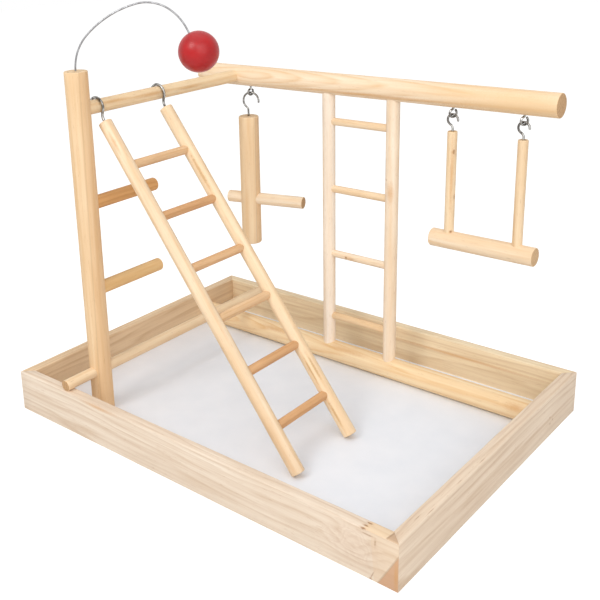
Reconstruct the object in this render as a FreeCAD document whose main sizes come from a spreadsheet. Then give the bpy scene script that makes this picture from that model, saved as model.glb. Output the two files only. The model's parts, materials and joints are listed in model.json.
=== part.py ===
import FreeCAD, Part
import math
import os
import Sketcher

# Table-top play stand for a parrot: a mitred wooden tray with a corner post, a long
# perch on a fixed ladder, a leaning ladder, a swing, a hanging T perch and a ball on
# a springy wire.  Millimetres.  +X runs along the long front rail, +Y from the front
# rail to the back rail, +Z up.  The origin is the centre of the tray's underside.

DRIVING_SIZES = [
    # tray
    ("tray_length", 400.0),
    ("tray_width", 300.0),
    ("rail_height", 38.0),
    ("rail_thick", 10.0),
    ("rail_ease", 0.8),
    ("panel_thick", 3.0),
    ("panel_low", 1.0),
    ("groove_deep", 5.0),
    ("panel_gap", 0.3),
    # dowel stock
    ("thick_dowel", 20.0),
    ("thin_dowel", 12.0),
    ("cross_stock", 10.0),
    ("back_rung", 7.0),
    ("lean_rung", 8.0),
    ("dowel_ease", 0.8),
    # fixed frame
    ("post_x", -136.0),
    ("post_y", -107.5),
    ("post_top", 314.5),
    ("perch_y", 100.0),
    ("perch_z", 282.0),
    ("perch_left", -183.0),
    ("perch_right", 189.0),
    ("upper_peg_z", 199.0),
    ("middle_peg_z", 120.0),
    ("peg_end_y", -26.0),
    ("cross_front", -149.0),
    ("cross_back", 139.0),
    ("back_stile_left", -28.0),
    ("back_stile_right", 40.5),
    ("back_rung_first", 52.0),
    ("back_rung_step", 65.0),
    ("back_rung_count", 4),
    # leaning ladder
    ("lean_angle", 37.3),
    ("lean_front_y", -88.0),
    ("lean_spacing", 73.5),
    ("foot_gap", 0.3),
    # hooks and eyes
    ("hook_radius", 8.2),
    ("hook_wire", 2.4),
    ("hook_bed_gap", 0.3),
    ("swing_hook_radius", 4.7),
    ("small_wire", 2.0),
    ("hook_shoulder", 63.0),
    ("t_hook_shoulder", 55.0),
    ("hook_tip_drop", 12.0),
    ("hook_neck", 2.0),
    ("stem_in_wood", 12.0),
    ("eye_radius", 3.3),
    ("t_eye_radius", 2.9),
    ("eye_neck", 0.6),
    ("t_eye_neck", 2.0),
    ("eye_turn", 60.0),
    ("t_eye_turn", 75.0),
    # swing
    ("swing_left", 98.0),
    ("swing_spacing", 62.0),
    ("swing_stile", 8.4),
    ("swing_bar", 16.0),
    ("swing_bar_length", 94.0),
    ("swing_bar_z", 155.0),
    # hanging T perch
    ("t_pivot_x", -121.5),
    ("t_yaw", 15.0),
    ("t_body_length", 133.0),
    ("t_body_top", 242.0),
    ("t_peg_length", 82.5),
    ("t_peg_overhang", 58.0),
    ("t_peg_z", 156.5),
    ("t_hang_offset", 3.16),
    # wire and ball
    ("ball_diameter", 34.0),
    ("ball_wire", 1.6),
    ("wire_yaw", 40.0),
    ("wire_in_post", 15.0),
    ("wire_end_run", 20.5),
    ("wire_in_ball", 13.0),
    ("wire_joint_gap", 0.3),
    # fasteners
    ("screw_shank", 3.0),
    ("screw_head", 5.6),
    ("screw_length", 13.0),
    ("screw_left_x", -120.0),
    ("screw_right_x", 130.0),
    ("brad_wide", 1.25),
    ("brad_thick", 1.05),
    ("brad_head", 2.1),
    ("brad_length", 22.0),
    ("brad_sunk", 0.6),
]

# The ball's wire leaves the post upright and bends four times, always the same way:
# the radius and the turn of each bend.
WIRE_BENDS = [(41.0, 44.0), (84.8, 32.7), (33.6, 52.4), (42.3, 25.8)]

# How far up its stiles from their feet each rung of the leaning ladder is set.  The
# holes were marked out by eye, so the steps are not quite even.
LEAN_RUNGS = [39.4, 88.3, 137.2, 184.3, 234.6, 285.4]

# Heights on the rail ends at which the corner brads are driven.
BRAD_HEIGHTS = [10.0, 28.0]

X_AXIS = FreeCAD.Vector(1, 0, 0)
Y_AXIS = FreeCAD.Vector(0, 1, 0)
Z_AXIS = FreeCAD.Vector(0, 0, 1)
TO_X = FreeCAD.Rotation(Y_AXIS, 90)
TO_Y = FreeCAD.Rotation(X_AXIS, -90)
UPRIGHT = FreeCAD.Rotation()

doc = FreeCAD.newDocument("PlayStand")
dims = doc.addObject("Spreadsheet::Sheet", "dims")
for row, (alias, size) in enumerate(DRIVING_SIZES, start=1):
    dims.set("A%d" % row, alias.replace("_", " "))
    dims.set("B%d" % row, str(size))
    dims.setAlias("B%d" % row, alias)
doc.recompute()

parts = []


def mm(alias):
    """The value of one driving dimension."""
    return float(dims.get(alias))


def place(piece, x, y, z, turn=UPRIGHT):
    """Set a finished piece in the stand and keep it for export."""
    piece.Placement = FreeCAD.Placement(FreeCAD.Vector(x, y, z), turn)
    parts.append(piece)
    return piece


# ---------------------------------------------------------------------------
# Body, sketch and bore helpers
# ---------------------------------------------------------------------------


def origin_feature(body, role):
    return next(item for item in body.Origin.OriginFeatures if item.Role == role)


def new_body(name):
    body = doc.addObject("PartDesign::Body", name)
    body.Label = name
    return body


def new_sketch(body, role, name):
    sketch = body.newObject("Sketcher::SketchObject", name)
    sketch.AttachmentSupport = [(origin_feature(body, role), "")]
    sketch.MapMode = "FlatFace"
    return sketch


def circle_on_axis(body, role, name, diameter, height="0"):
    """A circle on the sketch's upright axis; diameter and height are expressions."""
    sketch = new_sketch(body, role, name)
    sketch.addGeometry(Part.Circle(FreeCAD.Vector(0, 5, 0), Z_AXIS, 2))
    sketch.addConstraint(Sketcher.Constraint("Diameter", 0, 4))
    sketch.setExpression("Constraints[0]", diameter)
    if height == "0":
        sketch.addConstraint(Sketcher.Constraint("Coincident", 0, 3, -1, 1))
    else:
        sketch.addConstraint(Sketcher.Constraint("PointOnObject", 0, 3, -2))
        sketch.addConstraint(Sketcher.Constraint("DistanceY", -1, 1, 0, 3, 5))
        sketch.setExpression("Constraints[2]", height)
    return sketch


def must_cut(body, volume_before, feature):
    """A pocket that points away from the wood cuts nothing, so the volume must fall."""
    doc.recompute()
    if feature.Shape.Volume > volume_before - 1.0:
        raise RuntimeError("%s of %s cuts nothing" % (feature.Name, body.Label))


def pocket(body, sketch, name, length=None, reverse=False):
    """Cut a sketch into the body: to a length, or through all of it both ways."""
    volume_before = body.Shape.Volume
    cut = body.newObject("PartDesign::Pocket", name)
    cut.Profile = sketch
    if length is None:
        cut.Type = 1
        cut.Midplane = True
    else:
        cut.setExpression("Length", length)
        cut.Reversed = reverse
    must_cut(body, volume_before, cut)
    return cut


def dowel(name, diameter, length):
    """A round dowel along its own Z, its two ends lightly chamfered."""
    body = new_body(name)
    section = circle_on_axis(body, "XY_Plane", name + "_section", diameter)
    turned = body.newObject("PartDesign::Pad", name + "_turned")
    turned.Profile = section
    turned.setExpression("Length", length)
    doc.recompute()
    rims = []
    for number, edge in enumerate(turned.Shape.Edges, start=1):
        if isinstance(edge.Curve, Part.Circle):
            rims.append("Edge%d" % number)
    eased = body.newObject("PartDesign::Chamfer", name + "_eased")
    eased.Base = (turned, rims)
    eased.setExpression("Size", "dims.dowel_ease")
    doc.recompute()
    return body


def side_bore(body, name, role, height, diameter, reverse=False):
    """A blind socket across a dowel, from the dowel's centre line to its surface."""
    sketch = circle_on_axis(body, role, name + "_mark", diameter, height)
    return pocket(body, sketch, name, "dims.thick_dowel", reverse)


def through_bore(body, name, role, height, diameter):
    """A hole right across a dowel."""
    return pocket(body, circle_on_axis(body, role, name + "_mark", diameter, height), name)


def end_bore(body, name, diameter, depth, head=None):
    """A socket along a dowel's own axis: in its foot, or in its head at that height."""
    sketch = circle_on_axis(body, "XY_Plane", name + "_mark", diameter)
    if head is not None:
        sketch.setExpression("AttachmentOffset.Base.z", head)
    return pocket(body, sketch, name, depth, reverse=head is None)


def repeat_up(body, feature, name, count, step):
    """The same bore again at even steps along the dowel."""
    volume_before = body.Shape.Volume
    pattern = body.newObject("PartDesign::LinearPattern", name)
    pattern.Originals = [feature]
    pattern.Direction = (origin_feature(body, "Z_Axis"), [""])
    pattern.setExpression("Occurrences", count)
    pattern.setExpression("Length", "(%s - 1) * %s" % (count, step))
    body.Tip = pattern
    must_cut(body, volume_before, pattern)
    return pattern


# ---------------------------------------------------------------------------
# Tray: four mitred rails round a grooved-in panel
# ---------------------------------------------------------------------------


def mitred_rail(name, long_side):
    """A rail along X, outer face at y = 0, with mitred ends and a groove inside."""
    body = new_body(name)
    plan = new_sketch(body, "XY_Plane", name + "_plan")
    outer = mm("tray_length") / 2
    inner = outer - mm("rail_thick")
    corners = [(-outer, 0), (outer, 0), (inner, mm("rail_thick")), (-inner, mm("rail_thick"))]
    points = [FreeCAD.Vector(x, y, 0) for x, y in corners]
    for start, end in zip(points, points[1:] + points[:1]):
        plan.addGeometry(Part.LineSegment(start, end))
    for line in range(4):
        plan.addConstraint(Sketcher.Constraint("Coincident", line, 2, (line + 1) % 4, 1))
    plan.addConstraint(Sketcher.Constraint("PointOnObject", 0, 1, -1))
    plan.addConstraint(Sketcher.Constraint("Symmetric", 0, 1, 0, 2, -1, 1))
    plan.addConstraint(Sketcher.Constraint("Symmetric", 2, 1, 2, 2, -2))
    plan.addConstraint(Sketcher.Constraint("Distance", 0, 2 * outer))
    plan.setExpression("Constraints[7]", long_side)
    plan.addConstraint(Sketcher.Constraint("Distance", 2, 2 * inner))
    plan.setExpression("Constraints[8]", long_side + " - 2 * dims.rail_thick")
    plan.addConstraint(Sketcher.Constraint("DistanceY", 0, 2, 1, 2, mm("rail_thick")))
    plan.setExpression("Constraints[9]", "dims.rail_thick")
    board = body.newObject("PartDesign::Pad", name + "_board")
    board.Profile = plan
    board.setExpression("Length", "dims.rail_height")
    doc.recompute()
    upper_edges = []
    for number, edge in enumerate(board.Shape.Edges, start=1):
        ends = [vertex.Point for vertex in edge.Vertexes]
        along_x = abs(ends[0].y - ends[1].y) < 0.01
        on_top = min(ends[0].z, ends[1].z) > mm("rail_height") - 0.01
        if along_x and on_top:
            upper_edges.append("Edge%d" % number)
    eased = body.newObject("PartDesign::Fillet", name + "_eased")
    eased.Base = (board, upper_edges)
    eased.setExpression("Radius", "dims.rail_ease")
    doc.recompute()
    slot = new_sketch(body, "YZ_Plane", name + "_slot")
    near = mm("rail_thick") - mm("groove_deep")
    far = mm("rail_thick") + 1
    low = mm("panel_low")
    high = low + mm("panel_thick")
    ring = [(near, low), (far, low), (far, high), (near, high)]
    ring = [FreeCAD.Vector(y, z, 0) for y, z in ring]
    for start, end in zip(ring, ring[1:] + ring[:1]):
        slot.addGeometry(Part.LineSegment(start, end))
    for line in range(4):
        slot.addConstraint(Sketcher.Constraint("Coincident", line, 2, (line + 1) % 4, 1))
    for line in (0, 2):
        slot.addConstraint(Sketcher.Constraint("Horizontal", line))
    for line in (1, 3):
        slot.addConstraint(Sketcher.Constraint("Vertical", line))
    slot.addConstraint(Sketcher.Constraint("DistanceX", -1, 1, 0, 1, near))
    slot.setExpression("Constraints[8]", "dims.rail_thick - dims.groove_deep")
    slot.addConstraint(Sketcher.Constraint("DistanceX", -1, 1, 0, 2, far))
    slot.setExpression("Constraints[9]", "dims.rail_thick + 1")
    slot.addConstraint(Sketcher.Constraint("DistanceY", -1, 1, 0, 1, low))
    slot.setExpression("Constraints[10]", "dims.panel_low")
    slot.addConstraint(Sketcher.Constraint("DistanceY", 1, 1, 1, 2, high - low))
    slot.setExpression("Constraints[11]", "dims.panel_thick")
    pocket(body, slot, name + "_groove")
    return body


half_length = mm("tray_length") / 2
half_width = mm("tray_width") / 2
place(mitred_rail("front_rail", "dims.tray_length"), 0, -half_width, 0)
place(mitred_rail("back_rail", "dims.tray_length"), 0, half_width, 0, FreeCAD.Rotation(Z_AXIS, 180))
place(mitred_rail("left_rail", "dims.tray_width"), -half_length, 0, 0, FreeCAD.Rotation(Z_AXIS, -90))
place(mitred_rail("right_rail", "dims.tray_width"), half_length, 0, 0, FreeCAD.Rotation(Z_AXIS, 90))

floor_top = mm("panel_low") + mm("panel_thick")
screw_places = [
    (mm("post_x"), mm("post_y")),
    (mm("screw_left_x"), mm("perch_y")),
    (mm("screw_right_x"), mm("perch_y")),
]


def floor_panel():
    """The thin white panel, drilled and countersunk from below for its screws."""
    blank = doc.addObject("Part::Box", "floor_blank")
    margin = "2 * (dims.rail_thick - dims.groove_deep + dims.panel_gap)"
    blank.setExpression("Length", "dims.tray_length - " + margin)
    blank.setExpression("Width", "dims.tray_width - " + margin)
    blank.setExpression("Height", "dims.panel_thick")
    blank.setExpression("Placement.Base.x", "-Length / 2")
    blank.setExpression("Placement.Base.y", "-Width / 2")
    holes = []
    for number, (x, y) in enumerate(screw_places, start=1):
        shank = doc.addObject("Part::Cylinder", "floor_hole_%d" % number)
        shank.setExpression("Radius", "dims.screw_shank / 2")
        shank.setExpression("Height", "dims.panel_thick")
        shank.Placement.Base = FreeCAD.Vector(x, y, 0)
        sink = doc.addObject("Part::Cone", "floor_sink_%d" % number)
        sink.setExpression("Radius1", "dims.screw_head / 2")
        sink.setExpression("Radius2", "dims.screw_shank / 2")
        sink.setExpression("Height", "(dims.screw_head - dims.screw_shank) / 2")
        sink.Placement.Base = FreeCAD.Vector(x, y, 0)
        holes += [shank, sink]
    drills = doc.addObject("Part::MultiFuse", "floor_drills")
    drills.Shapes = holes
    panel = doc.addObject("Part::Cut", "tray_floor")
    panel.Label = "tray_floor"
    panel.Base = blank
    panel.Tool = drills
    doc.recompute()
    return panel


place(floor_panel(), 0, 0, mm("panel_low"))

# ---------------------------------------------------------------------------
# Fixed frame: post, cross dowel, perches, pegs and the upright ladder
# ---------------------------------------------------------------------------

post = dowel("corner_post", "dims.thick_dowel", "dims.post_top - dims.panel_low - dims.panel_thick")
above_floor = " - dims.panel_low - dims.panel_thick"
cross_height = "dims.rail_height + dims.cross_stock / 2" + above_floor
through_bore(post, "cross_bore", "XZ_Plane", cross_height, "dims.cross_stock")
side_bore(post, "middle_peg_bore", "XZ_Plane", "dims.middle_peg_z" + above_floor, "dims.thin_dowel")
side_bore(post, "upper_peg_bore", "XZ_Plane", "dims.upper_peg_z" + above_floor, "dims.thin_dowel")
side_bore(post, "side_perch_bore", "XZ_Plane", "dims.perch_z" + above_floor, "dims.thin_dowel")
end_bore(post, "wire_bore", "dims.ball_wire", "dims.wire_in_post", "dims.post_top" + above_floor)
end_bore(post, "post_pilot", "dims.screw_shank", "dims.screw_length - dims.panel_thick")
place(post, mm("post_x"), mm("post_y"), floor_top)

# The cross dowel lies on the front rail and stops just short of the back one.
cross_dowel = dowel("cross_dowel", "dims.cross_stock", "dims.cross_back - dims.cross_front")
cross_z = mm("rail_height") + mm("cross_stock") / 2
place(cross_dowel, mm("post_x"), mm("cross_front"), cross_z, TO_Y)

for peg_name in ("upper_peg", "middle_peg"):
    peg = dowel(peg_name, "dims.thin_dowel", "dims.peg_end_y - dims.post_y")
    place(peg, mm("post_x"), mm("post_y"), mm(peg_name + "_z"), TO_Y)

side_perch = dowel("side_perch", "dims.thin_dowel", "dims.perch_y - dims.post_y")
place(side_perch, mm("post_x"), mm("post_y"), mm("perch_z"), TO_Y)

# Laid along X, a dowel's own +X points down and its own -Y to the front.
long_perch = dowel("long_perch", "dims.thick_dowel", "dims.perch_right - dims.perch_left")
from_left = " - dims.perch_left"
post_place = "dims.post_x" + from_left
side_bore(long_perch, "side_perch_socket", "XZ_Plane", post_place, "dims.thin_dowel", True)
stile_places = ("dims.back_stile_left", "dims.back_stile_right")
eye_places = ("dims.t_pivot_x", "dims.swing_left", "dims.swing_left + dims.swing_spacing")
for number, stile_x in enumerate(stile_places, start=1):
    socket = "stile_socket_%d" % number
    side_bore(long_perch, socket, "YZ_Plane", stile_x + from_left, "dims.thin_dowel", True)
for number, eye_x in enumerate(eye_places, start=1):
    pilot = "eye_pilot_%d" % number
    side_bore(long_perch, pilot, "YZ_Plane", eye_x + from_left, "dims.small_wire", True)
place(long_perch, mm("perch_left"), mm("perch_y"), mm("perch_z"), TO_X)

base_bar = dowel("base_bar", "dims.thick_dowel", "dims.tray_length - 2 * dims.rail_thick")
from_rail = " + dims.tray_length / 2 - dims.rail_thick"
for number, stile_x in enumerate(stile_places, start=1):
    socket = "foot_socket_%d" % number
    side_bore(base_bar, socket, "YZ_Plane", stile_x + from_rail, "dims.thin_dowel")
for number, screw_x in enumerate(("dims.screw_left_x", "dims.screw_right_x"), start=1):
    pilot = "bar_pilot_%d" % number
    side_bore(base_bar, pilot, "YZ_Plane", screw_x + from_rail, "dims.screw_shank", True)
base_bar_z = floor_top + mm("thick_dowel") / 2
place(base_bar, mm("rail_thick") - half_length, mm("perch_y"), base_bar_z, TO_X)

bar_axis = "dims.panel_low + dims.panel_thick + dims.thick_dowel / 2"
stile_height = "dims.perch_z - (%s)" % bar_axis
first_rung = "dims.back_rung_first - (%s)" % bar_axis
for side, reverse in (("left", True), ("right", False)):
    stile = dowel("back_ladder_%s_stile" % side, "dims.thin_dowel", stile_height)
    bore = side_bore(stile, side + "_rung_bore", "YZ_Plane", first_rung, "dims.back_rung", reverse)
    repeat_up(stile, bore, side + "_rung_bores", "dims.back_rung_count", "dims.back_rung_step")
    place(stile, mm("back_stile_" + side), mm("perch_y"), base_bar_z)

rung_span = "dims.back_stile_right - dims.back_stile_left"
for number in range(int(mm("back_rung_count"))):
    rung = dowel("back_rung_%d" % (number + 1), "dims.back_rung", rung_span)
    rung_z = mm("back_rung_first") + number * mm("back_rung_step")
    place(rung, mm("back_stile_left"), mm("perch_y"), rung_z, TO_X)

# ---------------------------------------------------------------------------
# Screw hooks and eyes
# ---------------------------------------------------------------------------


def shoulder_radius(radius, shoulder, offset):
    """The return bend that brings the wire back to a stem at x = offset."""
    share = math.cos(math.radians(shoulder))
    return (offset + radius * share) / (1 - share)


def stem_top(radius, shoulder, offset=0.0):
    """How far below the middle of the bend the straight stem begins."""
    reach = radius + shoulder_radius(radius, shoulder, offset)
    return reach * math.sin(math.radians(shoulder))


def screw_hook(name, radius, wire, shoulder, stem, offset=0.0):
    """A question-mark hook in its XZ plane, the middle of its bend at the origin.

    The wire runs from the tip on the +X side over the top and down the -X side, and a
    return bend of the opposite hand brings it to the stem, which points down.
    """
    small = shoulder_radius(radius, shoulder, offset)

    def on_bend(degrees):
        angle = math.radians(degrees)
        return FreeCAD.Vector(radius * math.cos(angle), 0, radius * math.sin(angle))

    turn_point = on_bend(180 + shoulder)
    small_centre = turn_point * ((radius + small) / radius)
    half_turn = math.radians(shoulder / 2)
    halfway = FreeCAD.Vector(math.cos(half_turn), 0, math.sin(half_turn))
    small_middle = small_centre + halfway * small
    small_end = small_centre + FreeCAD.Vector(small, 0, 0)
    stem_end = small_end - FreeCAD.Vector(0, 0, stem)
    tip = on_bend(-mm("hook_tip_drop"))
    big_bend = Part.Arc(tip, on_bend(90), turn_point).toShape()
    small_bend = Part.Arc(turn_point, small_middle, small_end).toShape()
    spine = Part.Wire([big_bend, small_bend, Part.makeLine(small_end, stem_end)])
    along_tip = on_bend(90 - mm("hook_tip_drop"))
    ring = Part.Wire(Part.Circle(tip, along_tip, wire / 2).toShape())
    hook = doc.addObject("Part::Feature", name)
    hook.Label = name
    hook.Shape = spine.makePipeShell([ring], True, True)
    return hook


def screw_eye(name, radius, neck):
    """A ring of wire under a straight shank that fills its pilot hole in the perch."""
    ring = doc.addObject("Part::Torus", name + "_ring")
    ring.setExpression("Radius1", radius)
    ring.setExpression("Radius2", "dims.small_wire / 2")
    ring.Placement.Rotation = FreeCAD.Rotation(X_AXIS, 90)
    shank = doc.addObject("Part::Cylinder", name + "_shank")
    shank.setExpression("Radius", "dims.small_wire / 2")
    shank.setExpression("Height", "dims.small_wire / 2 + %s + dims.thick_dowel / 2" % neck)
    shank.setExpression("Placement.Base.z", radius)
    eye = doc.addObject("Part::Fuse", name)
    eye.Label = name
    eye.Base = ring
    eye.Tool = shank
    doc.recompute()
    return eye


perch_under = mm("perch_z") - mm("thick_dowel") / 2
small_radius = mm("small_wire") / 2


def pivot_height(eye_radius, neck, hook_wire):
    """The height of the hook's wire where it lies in the bottom of its eye."""
    eye_middle = perch_under - neck - small_radius - eye_radius
    return eye_middle - eye_radius + small_radius + mm("hook_bed_gap") + hook_wire / 2


# ---------------------------------------------------------------------------
# Leaning ladder
# ---------------------------------------------------------------------------

lean = math.radians(mm("lean_angle"))
along_lean = FreeCAD.Rotation(Y_AXIS, -mm("lean_angle"))
up_ladder = along_lean.multVec(Z_AXIS)
hook_inner = mm("hook_radius") - mm("hook_wire") / 2
hook_drop = hook_inner - mm("thin_dowel") / 2 - mm("hook_bed_gap")
hook_z = mm("perch_z") - hook_drop
head_below_hook = stem_top(mm("hook_radius"), mm("hook_shoulder")) + mm("hook_neck")
foot_rim = mm("thin_dowel") / 2 - mm("dowel_ease")
foot_z = floor_top + mm("foot_gap") + foot_rim * math.sin(lean)
axis_length = (hook_z - foot_z) / math.cos(lean)
stile_length = axis_length - head_below_hook
foot_x = mm("post_x") + axis_length * math.sin(lean)

lean_back_y = mm("lean_front_y") + mm("lean_spacing")
for side, stile_y, reverse in (("front", mm("lean_front_y"), False), ("back", lean_back_y, True)):
    stile = dowel("leaning_ladder_%s_stile" % side, "dims.thin_dowel", "%.4f mm" % stile_length)
    for number, station in enumerate(LEAN_RUNGS, start=1):
        bore = "%s_rung_bore_%d" % (side, number)
        side_bore(stile, bore, "XZ_Plane", "%.1f mm" % station, "dims.lean_rung", reverse)
    end_bore(stile, side + "_hook_bore", "dims.hook_wire", "dims.stem_in_wood", "%.4f mm" % stile_length)
    place(stile, foot_x, stile_y, foot_z, along_lean)
    hook = screw_hook(
        "leaning_ladder_%s_hook" % side,
        mm("hook_radius"),
        mm("hook_wire"),
        mm("hook_shoulder"),
        mm("hook_neck") + mm("stem_in_wood"),
    )
    place(hook, mm("post_x"), stile_y, hook_z, along_lean * FreeCAD.Rotation(Z_AXIS, 180))

for number, station in enumerate(LEAN_RUNGS, start=1):
    rung = dowel("leaning_rung_%d" % number, "dims.lean_rung", "dims.lean_spacing")
    start = FreeCAD.Vector(foot_x, mm("lean_front_y"), foot_z) + up_ladder * station
    place(rung, start.x, start.y, start.z, TO_Y)

# ---------------------------------------------------------------------------
# Swing
# ---------------------------------------------------------------------------

swing_pivot_z = pivot_height(mm("eye_radius"), mm("eye_neck"), mm("small_wire"))
swing_hook_z = swing_pivot_z - mm("swing_hook_radius")
swing_head_z = swing_hook_z - stem_top(mm("swing_hook_radius"), mm("hook_shoulder")) - mm("hook_neck")
swing_stile_length = "%.4f mm" % (swing_head_z - mm("swing_bar_z"))
swing_right = mm("swing_left") + mm("swing_spacing")
swing_bar_left = (mm("swing_left") + swing_right - mm("swing_bar_length")) / 2

for side, swing_x in (("left", mm("swing_left")), ("right", swing_right)):
    eye = screw_eye("swing_%s_eye" % side, "dims.eye_radius", "dims.eye_neck")
    eye_z = perch_under - mm("eye_neck") - small_radius - mm("eye_radius")
    place(eye, swing_x, mm("perch_y"), eye_z, FreeCAD.Rotation(Z_AXIS, mm("eye_turn")))
    hook = screw_hook(
        "swing_%s_hook" % side,
        mm("swing_hook_radius"),
        mm("small_wire"),
        mm("hook_shoulder"),
        mm("hook_neck") + mm("stem_in_wood"),
    )
    place(hook, swing_x, mm("perch_y"), swing_hook_z)
    stile = dowel("swing_%s_stile" % side, "dims.swing_stile", swing_stile_length)
    end_bore(stile, side + "_swing_bore", "dims.small_wire", "dims.stem_in_wood", swing_stile_length)
    place(stile, swing_x, mm("perch_y"), mm("swing_bar_z"))

swing_bar = dowel("swing_bar", "dims.swing_bar", "dims.swing_bar_length")
overhang = "(dims.swing_bar_length - dims.swing_spacing) / 2"
far_side = overhang + " + dims.swing_spacing"
side_bore(swing_bar, "left_stile_socket", "YZ_Plane", overhang, "dims.swing_stile")
side_bore(swing_bar, "right_stile_socket", "YZ_Plane", far_side, "dims.swing_stile")
place(swing_bar, swing_bar_left, mm("perch_y"), mm("swing_bar_z"), TO_X)

# ---------------------------------------------------------------------------
# Hanging T perch.  Its peg sticks out further to one side, so the hook's bend is set
# off the stem by the same amount and the body hangs plumb.
# ---------------------------------------------------------------------------

t_turn = FreeCAD.Rotation(Z_AXIS, mm("t_yaw"))
t_along = t_turn.multVec(X_AXIS)
t_pivot = FreeCAD.Vector(
    mm("t_pivot_x"),
    mm("perch_y"),
    pivot_height(mm("t_eye_radius"), mm("t_eye_neck"), mm("small_wire")),
)
t_hook_z = t_pivot.z - mm("hook_radius")
t_axis = t_pivot - t_along * mm("t_hang_offset")
t_stem_z = t_hook_z - stem_top(mm("hook_radius"), mm("t_hook_shoulder"), -mm("t_hang_offset"))

t_eye = screw_eye("t_perch_eye", "dims.t_eye_radius", "dims.t_eye_neck")
t_eye_z = perch_under - mm("t_eye_neck") - small_radius - mm("t_eye_radius")
place(t_eye, t_pivot.x, t_pivot.y, t_eye_z, FreeCAD.Rotation(Z_AXIS, mm("t_eye_turn")))
t_hook = screw_hook(
    "t_perch_hook",
    mm("hook_radius"),
    mm("small_wire"),
    mm("t_hook_shoulder"),
    t_stem_z - mm("t_body_top") + mm("stem_in_wood"),
    -mm("t_hang_offset"),
)
place(t_hook, t_pivot.x, t_pivot.y, t_hook_z, t_turn)

t_body = dowel("t_perch_body", "dims.thick_dowel", "dims.t_body_length")
peg_height = "dims.t_peg_z - dims.t_body_top + dims.t_body_length"
through_bore(t_body, "t_peg_bore", "YZ_Plane", peg_height, "dims.thin_dowel")
end_bore(t_body, "t_hook_bore", "dims.small_wire", "dims.stem_in_wood", "dims.t_body_length")
place(t_body, t_axis.x, t_axis.y, mm("t_body_top") - mm("t_body_length"), t_turn)

t_peg = dowel("t_perch_peg", "dims.thin_dowel", "dims.t_peg_length")
peg_start = t_axis - t_along * (mm("t_peg_length") - mm("t_peg_overhang"))
place(t_peg, peg_start.x, peg_start.y, mm("t_peg_z"), t_turn * TO_X)

# ---------------------------------------------------------------------------
# Springy wire and ball
# ---------------------------------------------------------------------------


def wire_route():
    """The wire's centre line in its own XZ plane: the edges, their end and heading."""
    here = FreeCAD.Vector(0, 0, mm("wire_joint_gap"))
    heading = 90.0
    edges = []
    for radius, turn in WIRE_BENDS:
        side = math.radians(heading - 90)
        centre = here + FreeCAD.Vector(math.cos(side), 0, math.sin(side)) * radius

        def after(degrees):
            angle = math.radians(heading + 90 - degrees)
            return centre + FreeCAD.Vector(math.cos(angle), 0, math.sin(angle)) * radius

        edges.append(Part.Arc(here, after(turn / 2), after(turn)).toShape())
        here = after(turn)
        heading -= turn
    way = FreeCAD.Vector(math.cos(math.radians(heading)), 0, math.sin(math.radians(heading)))
    ball_middle = here + way * mm("wire_end_run")
    bore_end = ball_middle - way * (mm("ball_diameter") / 2 - mm("wire_in_ball"))
    edges.append(Part.makeLine(here, bore_end))
    return edges, ball_middle, heading


route, ball_middle, last_heading = wire_route()
wire_turn = FreeCAD.Rotation(Z_AXIS, mm("wire_yaw"))
wire_foot = FreeCAD.Vector(mm("post_x"), mm("post_y"), mm("post_top"))
wire_ring = Part.Wire(Part.Circle(route[0].Vertexes[0].Point, Z_AXIS, mm("ball_wire") / 2).toShape())
ball_wire = doc.addObject("Part::Feature", "ball_wire")
ball_wire.Label = "ball_wire"
ball_wire.Shape = Part.Wire(route).makePipeShell([wire_ring], True, True)
place(ball_wire, wire_foot.x, wire_foot.y, wire_foot.z, wire_turn)

wire_root = doc.addObject("Part::Cylinder", "ball_wire_root")
wire_root.Label = "ball_wire_root"
wire_root.setExpression("Radius", "dims.ball_wire / 2")
wire_root.setExpression("Height", "dims.wire_in_post")
place(wire_root, wire_foot.x, wire_foot.y, wire_foot.z - mm("wire_in_post"))


def drilled_ball():
    """A ball drilled from its pole towards its middle for the end of the wire."""
    ball = doc.addObject("Part::Sphere", "ball_blank")
    ball.setExpression("Radius", "dims.ball_diameter / 2")
    drill = doc.addObject("Part::Cylinder", "ball_drill")
    drill.setExpression("Radius", "dims.ball_wire / 2")
    drill.setExpression("Height", "dims.wire_in_ball + 1")
    drill.setExpression("Placement.Base.z", "dims.ball_diameter / 2 - dims.wire_in_ball")
    drilled = doc.addObject("Part::Cut", "red_ball")
    drilled.Label = "red_ball"
    drilled.Base = ball
    drilled.Tool = drill
    doc.recompute()
    return drilled


ball_place = wire_foot + wire_turn.multVec(ball_middle)
pole_tilt = FreeCAD.Rotation(Y_AXIS, -90 - last_heading)
place(drilled_ball(), ball_place.x, ball_place.y, ball_place.z, wire_turn * pole_tilt)

# ---------------------------------------------------------------------------
# Fasteners
# ---------------------------------------------------------------------------


def floor_screw_shape():
    """A countersunk screw, head down at z = 0 and point up."""
    head = mm("screw_head") / 2
    shank = mm("screw_shank") / 2
    sink = head - shank
    outline = [(0, 0), (head, 0), (shank, sink), (shank, mm("screw_length")), (0, mm("screw_length"))]
    points = [FreeCAD.Vector(x, 0, z) for x, z in outline]
    return Part.Face(Part.makePolygon(points + points[:1])).revolve(FreeCAD.Vector(), Z_AXIS, 360)


def brad_shape():
    """A T-headed brad of flat wire along Z, its head's top at z = 0, its point down."""
    wide = mm("brad_wide")
    thick = mm("brad_thick")
    head = mm("brad_head")
    corner = FreeCAD.Vector(-wide / 2, -thick / 2, -mm("brad_length"))
    shank = Part.makeBox(wide, thick, mm("brad_length") - thick, corner)
    cap = Part.makeBox(head, thick, thick, FreeCAD.Vector(-head / 2, -thick / 2, -thick))
    return shank.fuse(cap).removeSplitter()


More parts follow.
